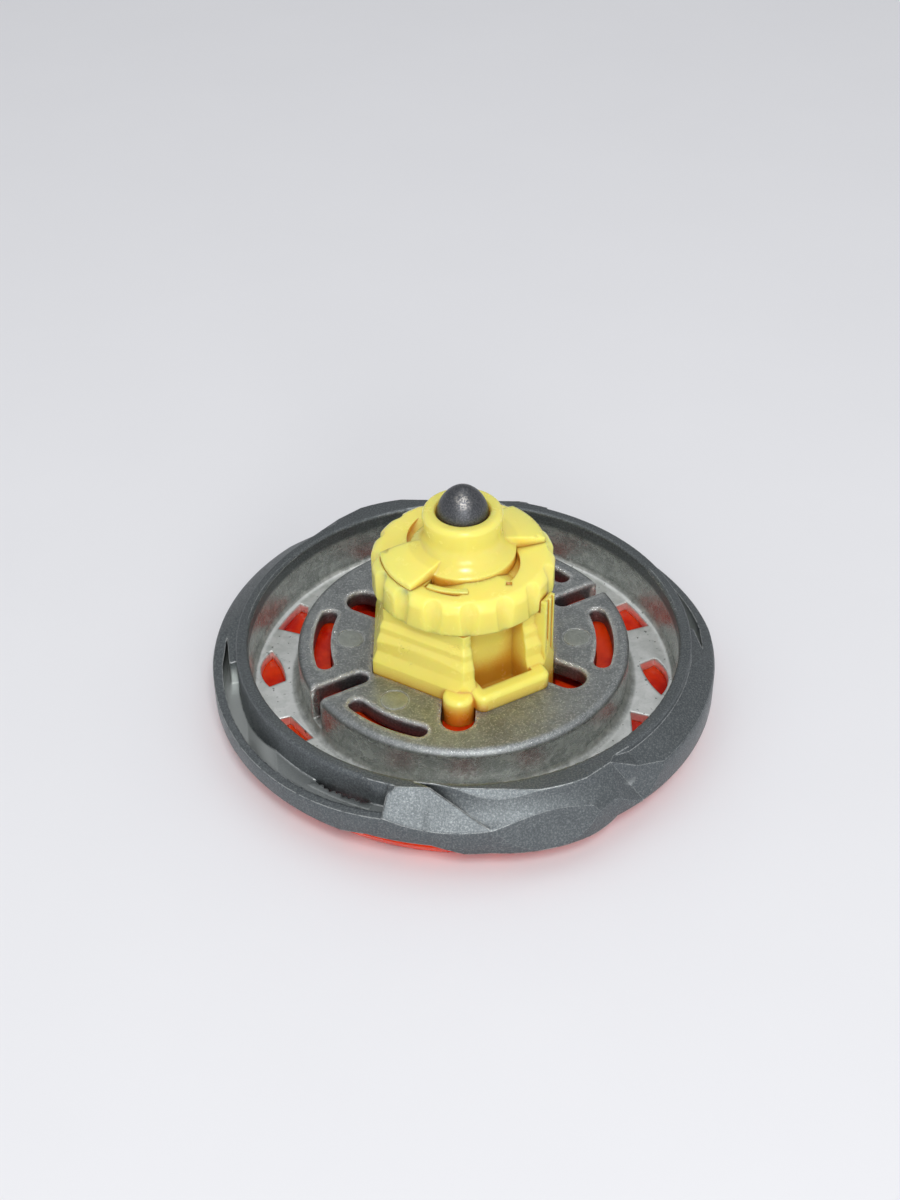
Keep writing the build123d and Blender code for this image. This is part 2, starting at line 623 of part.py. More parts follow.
def undercut():
    """Wedge taken off the underside where an arm runs into its blade."""
    low = WHEEL_BOTTOM_Z - THROUGH
    block = sector(
        RIM_OUTER_R + SLOT_SLIVER, WHEEL_R + SKIRT_WIDTH, UNDERCUT_FROM_AZ, UNDERCUT_TO_AZ + 1,
        low, WHEEL_BOTTOM_Z + BLADE_UNDERCUT)
    top = at(WHEEL_R, UNDERCUT_END_AZ, WHEEL_BOTTOM_Z + BLADE_UNDERCUT)
    foot = at(WHEEL_R, UNDERCUT_TO_AZ, WHEEL_BOTTOM_Z)
    foot_in = at(RIM_OUTER_R, UNDERCUT_TO_AZ, WHEEL_BOTTOM_Z)
    steep = Plane(origin=foot, z_dir=(top - foot).cross(foot_in - foot))
    side = Keep.TOP if steep.z_dir.Z < 0 else Keep.BOTTOM
    wedge = split(block, bisect_by=steep, keep=side)
    tail = at(WHEEL_R, UNDERCUT_FROM_AZ, WHEEL_BOTTOM_Z)
    head = at(WHEEL_R, UNDERCUT_FULL_AZ, WHEEL_BOTTOM_Z + BLADE_UNDERCUT)
    head_in = at(RIM_OUTER_R, UNDERCUT_FULL_AZ, WHEEL_BOTTOM_Z + BLADE_UNDERCUT)
    gentle = Plane(origin=tail, z_dir=(head - tail).cross(head_in - head))
    side = Keep.TOP if gentle.z_dir.Z < 0 else Keep.BOTTOM
    return split(wedge, bisect_by=gentle, keep=side)


def web_r(share):
    """Radius at a share of the web's width, from the hub outwards."""
    return HUB_R + WEB_WIDTH * share


def slanted_window(from_az, to_az, shares):
    """Window whose inner edge runs out or in from one side to the other."""
    outer = RIM_INNER_R - WEB_FILLET
    low = WEB_UNDER_Z - THROUGH
    corners = [
        ThreePointArc(at(outer, from_az, low), at(outer, (from_az + to_az) / 2, low), at(outer, to_az, low)),
        Line(at(outer, to_az, low), at(web_r(shares[1]), to_az, low)),
        Line(at(web_r(shares[1]), to_az, low), at(web_r(shares[0]), from_az, low)),
        Line(at(web_r(shares[0]), from_az, low), at(outer, from_az, low)),
    ]
    return extrude(make_face(Wire(corners)), WEB_THICKNESS + THROUGH + WEB_FILLET / 2, dir=(0, 0, 1))


def web_windows():
    """Openings in the web through which the light ring shows."""
    low = WEB_UNDER_Z - THROUGH
    p, q, r = (at(web_r(share), az, low) for share, az in zip(FANG, FANG_AZ))
    heel = at(web_r(FANG_HEEL), FANG_HEEL_AZ, low)
    middle = at(web_r(FANG_MID), FANG_MID_AZ, low)
    fang = [ThreePointArc(p, q, r), ThreePointArc(r, middle, heel), Line(heel, p)]
    windows = [
        extrude(make_face(Wire(fang)), WEB_THICKNESS + THROUGH + WEB_FILLET / 2, dir=(0, 0, 1)),
        slanted_window(*WIDE_WINDOW_AZ, WIDE_WINDOW_IN),
        slanted_window(*SHORT_WINDOW_AZ, SHORT_WINDOW_IN),
    ]
    half = SMALL_WINDOW_SPAN / 2
    for middle in SMALL_WINDOW_AZ:
        windows.append(slanted_window(middle - half, middle + half, (SMALL_WINDOW_IN, SMALL_WINDOW_IN)))
    return windows


def lobe(r, low, high, from_r=0.0):
    """Round-ended tongue that reaches out along +X."""
    plan = Rectangle(LOBE_CENTRE_R - from_r, 2 * r)
    neck = Pos((from_r + LOBE_CENTRE_R) / 2, 0, low) * extrude(plan, high - low)
    return neck + Pos(LOBE_CENTRE_R, 0, low) * extrude(Circle(r), high - low)


def hub_holes():
    low = HUB_UNDER_Z - THROUGH
    high = HUB_TOP_Z + THROUGH
    height = high - low
    holes = [Pos(0, 0, low) * extrude(hexagon(CORE_AF + 2 * HEX_GAP), height)]
    for az in (LEG_AZ, POST_AZ):
        holes.append(turned(lobe(LOBE_R, low, high), az))
    inner = HUB_R - KEY_SLOT_LENGTH
    floor = WEB_TOP_Z + KEY_SLOT_FLOOR
    key = Pos(inner, 0, floor) * Box(
        KEY_SLOT_LENGTH + THROUGH, KEY_SLOT_WIDTH, high - floor, align=(Align.MIN, Align.CENTER, Align.MIN))
    key_end = Pos(inner, 0, low) * extrude(Circle(KEY_SLOT_WIDTH / 2), height)
    holes.append(turned(key, 30))
    holes.append(turned(key_end, 30))
    for from_az, to_az in LIGHT_SLOT_AZ:
        holes.append(arc_slot(HUB_R - LIGHT_SLOT_LAND, LIGHT_SLOT_WIDTH, from_az, to_az, low, high))
    for az in PIN_MARK_AZ:
        mark = Pos(HUB_R - PIN_MARK_LAND, 0, HUB_TOP_Z - PIN_MARK_DEPTH)
        ring = Circle(PIN_MARK_R) - Circle(PIN_MARK_R - PIN_MARK_LINE)
        holes.append(turned(mark * extrude(ring, THROUGH), az))
    return holes


def make_wheel():
    wheel = wheel_disc() + twice(flank()) + twice(blade())
    for cut in blade_cuts() + [arm_dip(), slot(), slot_hole()] + web_windows() + hub_holes():
        wheel -= cut
        wheel -= turned(cut)
    return wheel


# ---------------------------------------------------------------- light ring
def boss(az, drop, outer_gap=0.0):
    """Part of the light ring that fills a lobe of the hub's hole."""
    top = HUB_TOP_Z - drop
    block = lobe(LOBE_R - BOSS_GAP, WEB_UNDER_Z - THROUGH / 2, top, RING_BORE_R + RING_HUB)
    clear = extrude(hexagon(CORE_AF + 4 * HEX_GAP), top + THROUGH)
    return turned(block, az) - clear


def make_light_ring():
    """Clear red ring that carries the wheel, spreads the light and is what the top rests on."""
    deck_z = WEB_UNDER_Z - RING_DECK
    lip_z = WEB_UNDER_Z + RING_LIP
    bead_top = HUB_UNDER_Z - RING_BEAD_GAP
    bead_out = HUB_INNER_R - RING_BEAD_GAP
    bead_in = bead_out - RING_BEAD_WIDTH
    foot = RING_OUTER_R - RING_FOOT_WIDTH
    ring = revolved([
        (RING_BORE_R - LENS_LIP, RING_FACE_Z),
        (RING_BORE_R + RING_HUB, RING_FACE_Z),
        (RING_BORE_R + RING_HUB + RING_FOOT_SLOPE, deck_z),
        (foot - RING_FOOT_SLOPE, deck_z),
        (foot, 0.0),
        (RING_OUTER_R - RING_CHAMFER, 0.0),
        (RING_OUTER_R - 2 * RING_EDGE, WEB_UNDER_Z / 2),
        (RING_OUTER_R, WEB_UNDER_Z - RING_EDGE),
        (RING_OUTER_R - RING_EDGE, lip_z),
        (RIM_OUTER_R + RING_WALL_GAP, lip_z),
        (RIM_OUTER_R + RING_WALL_GAP, WEB_UNDER_Z),
        (bead_out, WEB_UNDER_Z),
        (bead_out, bead_top),
        (bead_in, bead_top),
        (bead_in - RING_EDGE, WEB_UNDER_Z),
        (RING_BORE_R, WEB_UNDER_Z),
        (RING_BORE_R, LENS_TOP_Z),
        (RING_BORE_R - LENS_LIP, LENS_TOP_Z),
    ])
    rib_from = RING_BORE_R + RING_HUB
    rib = Pos(rib_from, 0, RIB_LIFT) * Box(
        foot - rib_from, RIB_WIDTH, deck_z - RIB_LIFT + RING_EDGE, align=(Align.MIN, Align.CENTER, Align.MIN))
    for k in range(RING_RIBS):
        ring += turned(rib, 360 / RING_RIBS * (k + 0.5))
    for az in LEG_LOBE_AZ:
        ring += boss(az, BOSS_DROP)
    for az in EMPTY_LOBE_AZ:
        ring += boss(az, EMPTY_BOSS_DROP)
    seat = Pos(LEG_CENTRE_R, 0, 0)
    for az in LEG_LOBE_AZ:
        ring -= turned(seat * tube(LEG_R + STOP_GAP / 2, WEB_UNDER_Z - LEG_SINK, HUB_TOP_Z), az)
        ring -= turned(seat * tube(SCREW_R + SCREW_PASS, -THROUGH, WEB_UNDER_Z), az)
        ring -= turned(seat * tube(SCREW_HEAD_R + SCREW_HEAD_ROOM, -THROUGH, SCREW_SEAT_Z), az)
    return ring


def make_face_lens():
    """Plain domed window in the middle of the face, with a skirt that carries the board."""
    r = RING_BORE_R - LENS_GAP
    front = RING_BORE_R - LENS_LIP - LENS_GAP
    return revolved([
        (0, LENS_FLOOR_Z),
        (front - LENS_EDGE, LENS_FLOOR_Z),
        (front, LENS_FLOOR_Z + LENS_RISE),
        (front, LENS_TOP_Z),
        (r, LENS_TOP_Z),
        (r, BOARD_Z),
        (r - LENS_SKIRT, BOARD_Z),
        (r - LENS_SKIRT, LENS_TOP_Z),
        (0, LENS_TOP_Z - LENS_RISE / 2),
    ])


# -------------------------------------------------------------- core housing
def tiered_body():
    """Hexagonal tower whose faces step back in sloped ledges towards the dial."""
    low = HUB_TOP_Z + CORE_FIRST_RISER
    body = Pos(0, 0, BOARD_TOP_Z) * extrude(hexagon(CORE_AF), low - BOARD_TOP_Z)
    across = CORE_AF
    for step, slope, riser in zip(TIER_STEPS, TIER_SLOPES, TIER_GAPS + (CORE_TOP_Z,)):
        wide = hexagon(across)
        across -= 2 * step
        slim = hexagon(across)
        body += loft([Pos(0, 0, low) * wide, Pos(0, 0, low + slope) * slim])
        low += slope
        top = min(low + riser, CORE_TOP_Z)
        body += Pos(0, 0, low) * extrude(slim, top - low)
        low = top
    for az, trim in ((90, BLUNT_CORNER), (POST_AZ, SLIM_CORNER)):
        limit = Box(2 * (CORE_CORNER - trim), 3 * CORE_R, 4 * CORE_TOP_Z)
        body &= turned(limit, az)
    return body


def corner_post():
    """Upright ribbed post on one corner, standing higher than the dial's underside."""
    inner = DIAL_R + POST_GAP
    outer = CORE_CORNER - SLIM_CORNER
    height = CORE_TOP_Z + POST_RISE - BOARD_TOP_Z
    bar = Pos(inner - POST_WIDTH / 2, 0, BOARD_TOP_Z) * Box(
        POST_WIDTH, POST_WIDTH, height, align=(Align.MIN, Align.CENTER, Align.MIN))
    post = bar & (Pos(0, 0, BOARD_TOP_Z) * extrude(Circle(outer), height))
    post -= tube(inner, CORE_TOP_Z, CORE_TOP_Z + height)
    for side in (-1, 1):
        slit = Pos(outer, side * RIB_GROOVE_PITCH / 2, HUB_TOP_Z + CORE_FIRST_RISER) * Box(
            2 * RIB_GROOVE_DEPTH, RIB_GROOVE, height, align=(Align.CENTER, Align.CENTER, Align.MIN))
        post -= slit
    return turned(post, POST_AZ)


def face_box(near, far, left, right, low, high):
    """Box on the pocket's face: out along its normal, sideways along the face."""
    block = Pos(near, left, low) * Box(far - near, right - left, high - low, align=(Align.MIN,) * 3)
    return turned(block, FACE_AZ)


def clamp_bar():
    """U-shaped bar round the mouth of the pocket; it bears on the hub and holds the wheel down."""
    start = CORE_R - CLAMP_LAP
    block = Pos(start, -CLAMP_LEFT, HUB_TOP_Z) * Box(
        CORE_R + CLAMP_OUT - start, CLAMP_LEFT + CLAMP_RIGHT, CLAMP_HEIGHT, align=(Align.MIN,) * 3)
    outer_edges = block.edges().filter_by(Axis.Z).sort_by(Axis.X)[-2:]
    block = fillet(outer_edges, CLAMP_CORNER)
    block = fillet(block.faces().sort_by(Axis.Z)[-1].edges().sort_by(Axis.X)[1:], CLAMP_ROUND)
    left, right = CLAMP_MOUTH
    mouth = Pos(0, -left, HUB_TOP_Z - THROUGH) * Box(
        CLAMP_INNER_R, left + right, CLAMP_HEIGHT + 2 * THROUGH, align=(Align.MIN,) * 3)
    return turned(block - mouth, FACE_AZ)


def stop_lug():
    """Curved lug on the core's top that stands in an arc groove under the dial."""
    return sector(
        HOLDER_BASE_R + STOP_GAP, STOP_R, STOP_FROM_AZ, STOP_TO_AZ,
        CORE_TOP_Z - STOP_GAP, CORE_TOP_Z + STOP_HEIGHT)


def leg():
    """Round leg from the core's corner down through a lobe of the hub."""
    top = HUB_TOP_Z + CORE_FIRST_RISER
    post = tube(LEG_R, WEB_UNDER_Z - LEG_SINK, top)
    post = Pos(LEG_CENTRE_R, 0, 0) * fillet(post.edges().sort_by(Axis.Z)[-1], LEG_ROUND)
    bridge = Pos(LEG_CENTRE_R, 0, BOARD_TOP_Z) * Box(
        LEG_CENTRE_R / 2, 2 * LEG_R, HUB_TOP_Z - BOARD_TOP_Z, align=(Align.MAX, Align.CENTER, Align.MIN))
    return turned(post + bridge, LEG_AZ)


def make_core():
    core = tiered_body() + twice(corner_post()) + twice(leg()) + twice(clamp_bar())
    clamp_top = HUB_TOP_Z + CLAMP_HEIGHT
    upper = face_box(CORE_R - POCKET_DEPTH, CLAMP_INNER_R, -POCKET_LEFT, POCKET_RIGHT, clamp_top, DIAL_Z)
    lower = face_box(
        CORE_R - POCKET_DEPTH, CLAMP_INNER_R, -CLAMP_MOUTH[0], POCKET_RIGHT,
        HUB_TOP_Z - POCKET_SINK, clamp_top)
    core -= upper + lower
    core -= turned(upper + lower)
    core += twice(stop_lug())
    core -= tube(BORE_R, BOARD_TOP_Z - THROUGH, BORE_TOP_Z)
    core -= tube(CLIP_R + 2 * CLIP_GAP, BOARD_TOP_Z, BORE_TOP_Z + CLIP_ROOM)
    core -= tube(SHANK_R + SHANK_GAP, BOARD_TOP_Z, CORE_TOP_Z + THROUGH)
    groove_r = BORE_R + CONTACT_SHEET + STRAP_GROOVE_GAP
    groove = Pos(0, 0, BOARD_TOP_Z - THROUGH) * Box(
        groove_r, STRAP_WIDTH + 2 * STRAP_GROOVE_GAP, BORE_TOP_Z - BOARD_TOP_Z + THROUGH,
        align=(Align.MIN, Align.CENTER, Align.MIN))
    core -= turned(groove, STRAP_AZ)
    pilot = Pos(LEG_CENTRE_R, 0, 0) * tube(SCREW_R + SCREW_GAP, 0, WEB_UNDER_Z + SCREW_DEPTH_IN_LEG)
    for az in LEG_LOBE_AZ:
        core -= turned(pilot, az)
    return core


# ----------------------------------------------------------- dial, holder, tip
def wing(gap=0.0):
    """Half of the tip holder's bow-tie; a gap gives the pocket it sits in."""
    low = DIAL_TOP_Z - WING_SINK - gap
    inner = COLLAR_WAIST_R - THROUGH / 2
    outer = WING_R + gap
    end = degrees(gap / WING_R)
    sides = []
    for az, out in ((WING_FROM_AZ - end, -1), (WING_TO_AZ + end, 1)):
        root = at(inner, az + out * WING_ROOT_SPREAD, low)
        waist = at(WING_WAIST_R, az + out * WING_WAIST_SPREAD, low)
        sides.append((root, waist, at(outer, az, low)))
    (root_a, waist_a, end_a), (root_b, waist_b, end_b) = sides
    middle = (WING_FROM_AZ + WING_TO_AZ) / 2
    outline = [
        ThreePointArc(root_a, waist_a, end_a),
        ThreePointArc(end_a, at(outer, middle, low), end_b),
        ThreePointArc(end_b, waist_b, root_b),
        Line(root_b, root_a),
    ]
    plan = extrude(make_face(Wire(outline)), WING_SINK + WING_RISE + THROUGH, dir=(0, 0, 1))
    if gap > 0:
        return plan
    head = xz(0, DIAL_TOP_Z + WING_RISE)
    foot = xz(WING_R, DIAL_TOP_Z + WING_EDGE)
    edges = [ThreePointArc(head, xz(WING_MID_R, DIAL_TOP_Z + WING_MID_RISE), foot)]
    edges += chain([foot, xz(WING_R, low), xz(0, low), head])
    return plan & profile_turned(edges)


def groove_end(end_az, foot_az, head_az):
    """One end of the dial's crescent groove: a flat floor, then a ramp up to the dial's top."""
    low, high = sorted((end_az, head_az))
    floor = DIAL_TOP_Z - GROOVE_DEPTH
    block = sector(0, DIAL_R, low, high, floor, DIAL_TOP_Z + THROUGH)
    middle = at(GROOVE_OFFSET, GROOVE_AZ)
    block &= Pos(middle.X, middle.Y, 0) * tube(GROOVE_R, floor, DIAL_TOP_Z + THROUGH)
    foot = at(GROOVE_R, foot_az, floor)
    head = at(GROOVE_R, head_az, DIAL_TOP_Z)
    across = at(1, (foot_az + head_az) / 2)
    normal = (head - foot).cross(across)
    if normal.Z < 0:
        normal = normal * -1
    return split(block, bisect_by=Plane(origin=head, z_dir=normal), keep=Keep.TOP)


def make_dial():
    """Fluted dial with a rounded shoulder, two wing pockets and two shallow ramped grooves."""
    shoulder = xz(DIAL_R, DIAL_TOP_Z - DIAL_SHOULDER)
    crown = xz(DIAL_R - DIAL_SHOULDER_IN, DIAL_TOP_Z)
    bend = sqrt(0.5)
    middle = xz(
        DIAL_R - DIAL_SHOULDER_IN * (1 - bend), DIAL_TOP_Z - DIAL_SHOULDER * (1 - bend))
    edges = chain([
        xz(DIAL_BORE_R, DIAL_TOP_Z), xz(DIAL_BORE_R, DIAL_Z), xz(DIAL_R - DIAL_EASE, DIAL_Z),
        xz(DIAL_R, DIAL_Z + DIAL_EASE), shoulder])
    edges += [ThreePointArc(shoulder, middle, crown), Line(crown, xz(DIAL_BORE_R, DIAL_TOP_Z))]
    dial = profile_turned(edges)
    pocket = wing(HOLDER_GAP)
    stop_room = sector(
        DIAL_BORE_R - THROUGH, STOP_R + STOP_GAP,
        STOP_FROM_AZ - TURN_ON - STOP_SPARE, STOP_TO_AZ + TURN_BACK + STOP_SPARE,
        DIAL_Z - THROUGH, CORE_TOP_Z + STOP_HEIGHT + STOP_GAP)
    for cut in [pocket, stop_room] + [groove_end(*ends) for ends in GROOVE_ENDS]:
        dial -= cut
        dial -= turned(cut)
    pitch = 360 / DIAL_FLUTES
    half = DIAL_R * radians(pitch) * FLUTE_SHARE / 2
    cutter_r = (half ** 2 + FLUTE_DEPTH ** 2) / (2 * FLUTE_DEPTH)
    cutter_at = DIAL_R - FLUTE_DEPTH + cutter_r
    cutter = tube(cutter_r, -2 * DIAL_HEIGHT, DIAL_HEIGHT)
    cutter = Pos(cutter_at, 0, DIAL_TOP_Z - DIAL_SHOULDER) * Rot(0, -FLUTE_LEAN, 0) * cutter
    for k in range(DIAL_FLUTES):
        dial -= turned(cutter, FLUTE_FIRST_AZ + pitch * k)
    tick_at = Pos(GROOVE_R + GROOVE_OFFSET / 2 + TICK_SIZE, 0, DIAL_TOP_Z)
    tick = tick_at * Rot(0, 0, 45) * Box(TICK_SIZE, TICK_SIZE, 2 * TICK_DEPTH)
    return dial - turned(tick, TICK_AZ)


def make_holder():
    """Collar for the tip on a flared base, with two wings and a shank that turns in the core."""
    base = xz(HOLDER_BASE_R, DIAL_TOP_Z + HOLDER_BASE_RISE)
    waist = xz(COLLAR_WAIST_R, COLLAR_TOP_Z - COLLAR_WAIST_DROP)
    bend = sqrt(0.5)
    flare = xz(
        base.X - (base.X - waist.X) * bend, base.Z + (waist.Z - base.Z) * (1 - bend))
    c = COLLAR_ROUND
    lip = xz(COLLAR_R, COLLAR_TOP_Z - c)
    lip_top = xz(COLLAR_R - c, COLLAR_TOP_Z)
    bore = TIP_R + TIP_GAP
    edges = chain([
        xz(0, TIP_SEAT_Z), xz(0, CLIP_Z), xz(SHANK_R, CLIP_Z), xz(SHANK_R, DIAL_Z),
        xz(HOLDER_BASE_R, DIAL_Z), base])
    edges += [ThreePointArc(base, flare, waist), Line(waist, lip)]
    edges.append(quarter(lip, lip_top, xz(COLLAR_R - c, COLLAR_TOP_Z - c), xz(1, 1)))
    edges += chain([
        lip_top, xz(bore + TIP_MOUTH, COLLAR_TOP_Z), xz(bore, COLLAR_TOP_Z - TIP_MOUTH), xz(bore, TIP_SEAT_Z),
        xz(0, TIP_SEAT_Z)])
    holder = profile_turned(edges) + twice(wing())
    holder -= tube(TIP_STEM_R + TIP_STEM_GAP, TIP_SEAT_Z - TIP_STEM_LENGTH, TIP_SEAT_Z + THROUGH / 2)
    return holder - tube(SHANK_R + THROUGH, CLIP_Z, CLIP_Z + CLIP_THICKNESS, CLIP_NECK_R)


def make_tip():
    """Turned metal tip: stem, straight head and a dome that draws up to a blunt point."""
    head = xz(TIP_R, COLLAR_TOP_Z - TIP_STRAIGHT)
    waist = xz(TIP_R * TIP_WAIST[0], head.Z + (TIP_TOP_Z - head.Z) * TIP_WAIST[1])
    blunt = xz(TIP_BLUNT_R, TIP_TOP_Z)
    stem_end = TIP_SEAT_Z - TIP_STEM_LENGTH + TIP_STEM_END
    edges = chain([
        blunt, xz(0, TIP_TOP_Z), xz(0, stem_end), xz(TIP_STEM_R, stem_end), xz(TIP_STEM_R, TIP_SEAT_Z),
        xz(TIP_R, TIP_SEAT_Z), head])
    edges.append(ThreePointArc(head, waist, blunt))
    return profile_turned(edges)


def make_clip():
    """Spring clip in the shank's neck; it keeps the dial on the core."""
    ring = tube(CLIP_R, CLIP_Z, CLIP_Z + CLIP_THICKNESS, CLIP_NECK_R + CLIP_GRIP)
    half = CLIP_NECK_R * CLIP_MOUTH
    mouth = Pos(0, -half, CLIP_Z - THROUGH) * Box(
        CLIP_R + THROUGH, 2 * half, CLIP_THICKNESS + 2 * THROUGH, align=(Align.MIN,) * 3)
    return ring - mouth


# --------------------------------------------------------------- electronics
def make_board():
    edge = RING_BORE_R - LENS_GAP - BOARD_GAP
    board = tube(edge, BOARD_Z, BOARD_TOP_Z)
    key = Pos(edge, 0, 0) * tube(BOARD_KEY_R, BOARD_Z - THROUGH, BOARD_TOP_Z + THROUGH)
    return board - turned(key, BOARD_KEY_AZ)


def cell(low):
    """Button cell with its smaller cap down, on the negative side."""
    return revolved([
        (0, low),
        (CELL_CAP_R - CELL_EDGE, low),
        (CELL_CAP_R, low + CELL_CAP_HEIGHT),
        (CELL_R - 2 * CELL_EDGE, low + CELL_CAP_HEIGHT),
        (CELL_R, low + CELL_CAP_HEIGHT + 2 * CELL_EDGE),
        (CELL_R, low + CELL_HEIGHT - CELL_EDGE),
        (CELL_R - CELL_EDGE, low + CELL_HEIGHT),
        (0, low + CELL_HEIGHT),
    ])


def make_sleeve():
    inner = CELL_R + SLEEVE_GAP
    return tube(inner + SLEEVE_WALL, CELLS_Z + CELL_CAP_HEIGHT, CELLS_TOP_Z - CELL_EDGE, inner)


def make_negative_contact():
    """Dished spring washer between the board and the lower cell's cap."""
    t = CONTACT_SHEET
    rim_in, rim_out = CONTACT_RIM
    dome_in, dome_out = CONTACT_DOME
    return revolved([
        (rim_in, BOARD_TOP_Z),
        (rim_out, BOARD_TOP_Z),
        (rim_out, BOARD_TOP_Z + t),
        (rim_in + t / 2, BOARD_TOP_Z + t),
        (dome_out + t / 2, CELLS_Z),
        (dome_in, CELLS_Z),
        (dome_in, CELLS_Z - t),
        (dome_out, CELLS_Z - t),
    ])


def make_positive_contact():
    """Strap from the board up its groove and over the upper cell."""
    upright = Pos(BORE_R, -STRAP_WIDTH / 2, BOARD_TOP_Z) * Box(
        CONTACT_SHEET, STRAP_WIDTH, BORE_TOP_Z - BOARD_TOP_Z, align=(Align.MIN,) * 3)
    finger = Pos(-STRAP_REACH, -STRAP_WIDTH / 2, CELLS_TOP_Z) * Box(
        BORE_R + CONTACT_SHEET + STRAP_REACH, STRAP_WIDTH, CONTACT_SHEET, align=(Align.MIN,) * 3)
    return turned(upright + finger, STRAP_AZ)


def make_led(az):
    base = LED_HEIGHT * LED_BASE
    body = Box(LED_WIDTH, LED_LENGTH, base, align=(Align.CENTER, Align.CENTER, Align.MAX))
    lens = Pos(0, 0, -base) * Box(
        LED_WIDTH * LED_LENS[0], LED_LENGTH * LED_LENS[1], LED_HEIGHT - base,
        align=(Align.CENTER, Align.CENTER, Align.MAX))
    return turned(Pos(LED_CENTRE_R, 0, BOARD_Z) * (body + lens), az)


def make_chip():
    """Drop of black epoxy over the driver die."""
    ball_r = (CHIP_R ** 2 + CHIP_HEIGHT ** 2) / (2 * CHIP_HEIGHT)
    low = BOARD_Z - CHIP_HEIGHT
    bend = CHIP_R / 2
    bend_z = low + ball_r - sqrt(ball_r ** 2 - bend ** 2)
    edges = [
        Line(xz(0, low), xz(0, BOARD_Z)),
        Line(xz(0, BOARD_Z), xz(CHIP_R, BOARD_Z)),
        ThreePointArc(xz(CHIP_R, BOARD_Z), xz(bend, bend_z), xz(0, low)),
    ]
    return Pos(CHIP_CENTRE[0], CHIP_CENTRE[1], 0) * profile_turned(edges)


def make_resistor():
    length, width, height = RESISTOR_SIZE
    block = Box(length, width, height, align=(Align.CENTER, Align.CENTER, Align.MAX))
    return Pos(RESISTOR_CENTRE[0], RESISTOR_CENTRE[1], BOARD_Z) * block


SWITCH_LOW_Z = BOARD_Z - SWITCH_HEIGHT
CAVITY_FROM_X = SWITCH_CENTRE_X - SWITCH_LENGTH / 2 + SWITCH_WALL
CAVITY_TO_X = SWITCH_CENTRE_X + SWITCH_LENGTH / 2 - SWITCH_WALL
WEIGHT_TO_X = CAVITY_TO_X - CONTACT_PAD - WEIGHT_TRAVEL
WEIGHT_FROM_X = WEIGHT_TO_X - WEIGHT_LENGTH
WEIGHT_WIDTH = SWITCH_WIDTH - 2 * SWITCH_WALL - 2 * WEIGHT_GAP
WEIGHT_HEIGHT = SWITCH_HEIGHT - SWITCH_WALL - 2 * WEIGHT_GAP


def make_switch_case():
    shell = Pos(SWITCH_CENTRE_X, 0, BOARD_Z) * Box(
        SWITCH_LENGTH, SWITCH_WIDTH, SWITCH_HEIGHT, align=(Align.CENTER, Align.CENTER, Align.MAX))
    room = Pos(CAVITY_FROM_X, 0, BOARD_Z) * Box(
        CAVITY_TO_X - CAVITY_FROM_X, SWITCH_WIDTH - 2 * SWITCH_WALL, SWITCH_HEIGHT - SWITCH_WALL,
        align=(Align.MIN, Align.CENTER, Align.MAX))
    return shell - room


def make_switch_weight():
    """Small brass weight that spinning throws outwards onto the contact."""
    low = SWITCH_LOW_Z + SWITCH_WALL + WEIGHT_GAP
    block = Pos(WEIGHT_FROM_X, 0, low) * Box(
        WEIGHT_LENGTH, WEIGHT_WIDTH, WEIGHT_HEIGHT, align=(Align.MIN, Align.CENTER, Align.MIN))
    return chamfer(block.edges().filter_by(Axis.X), WEIGHT_EDGE)


def make_switch_contact():
    """Contact pad at the outer end of the switch."""
    low = SWITCH_LOW_Z + SWITCH_WALL
    return Pos(CAVITY_TO_X, 0, low) * Box(
        CONTACT_PAD, SWITCH_WIDTH - 2 * SWITCH_WALL, BOARD_Z - low,
        align=(Align.MAX, Align.CENTER, Align.MIN))


def make_switch_spring():
    """Folded leaf that holds the weight off the contact while the top is still."""
    pitch = (WEIGHT_FROM_X - CAVITY_FROM_X - SPRING_SHEET) / SPRING_FOLDS
    low = SWITCH_LOW_Z + SWITCH_WALL + WEIGHT_GAP + (WEIGHT_HEIGHT - SPRING_HEIGHT) / 2
    spring = None
    for fold in range(SPRING_FOLDS):
        near = CAVITY_FROM_X + pitch * fold
        side = SPRING_HALF_WIDTH if fold % 2 else -SPRING_HALF_WIDTH
        far = near + pitch
        strip = [(near, side), (near + SPRING_SHEET, side), (far + SPRING_SHEET, -side), (far, -side)]
        leaf = Pos(0, 0, low) * extrude(make_face(Polyline(strip, close=True)), SPRING_HEIGHT)
        spring = leaf if spring is None else spring + leaf
    return spring


# ------------------------------------------------------------------ fasteners
def make_screws():
    """Two screws from the face, through the ring, into the core's legs."""
    low = SCREW_SEAT_Z - SCREW_HEAD
    end = WEB_UNDER_Z + SCREW_DEPTH_IN_LEG - SCREW_POINT / 2
    head = revolved([
        (0, low),
        (SCREW_HEAD_R - SCREW_HEAD_EDGE, low),
        (SCREW_HEAD_R, low + SCREW_HEAD_EDGE),
        (SCREW_HEAD_R, SCREW_SEAT_Z),
        (SCREW_R, SCREW_SEAT_Z),
        (SCREW_R, end - SCREW_POINT),
        (0, end),
    ])
    for turn in (0, 90):
        head -= Pos(0, 0, low) * Rot(0, 0, turn) * Box(SCREW_CROSS_LENGTH, SCREW_CROSS, 2 * SCREW_CROSS_DEPTH)
    screw = Pos(LEG_CENTRE_R, 0, 0) * head
    return Compound([turned(screw, az).solid() for az in LEG_LOBE_AZ])


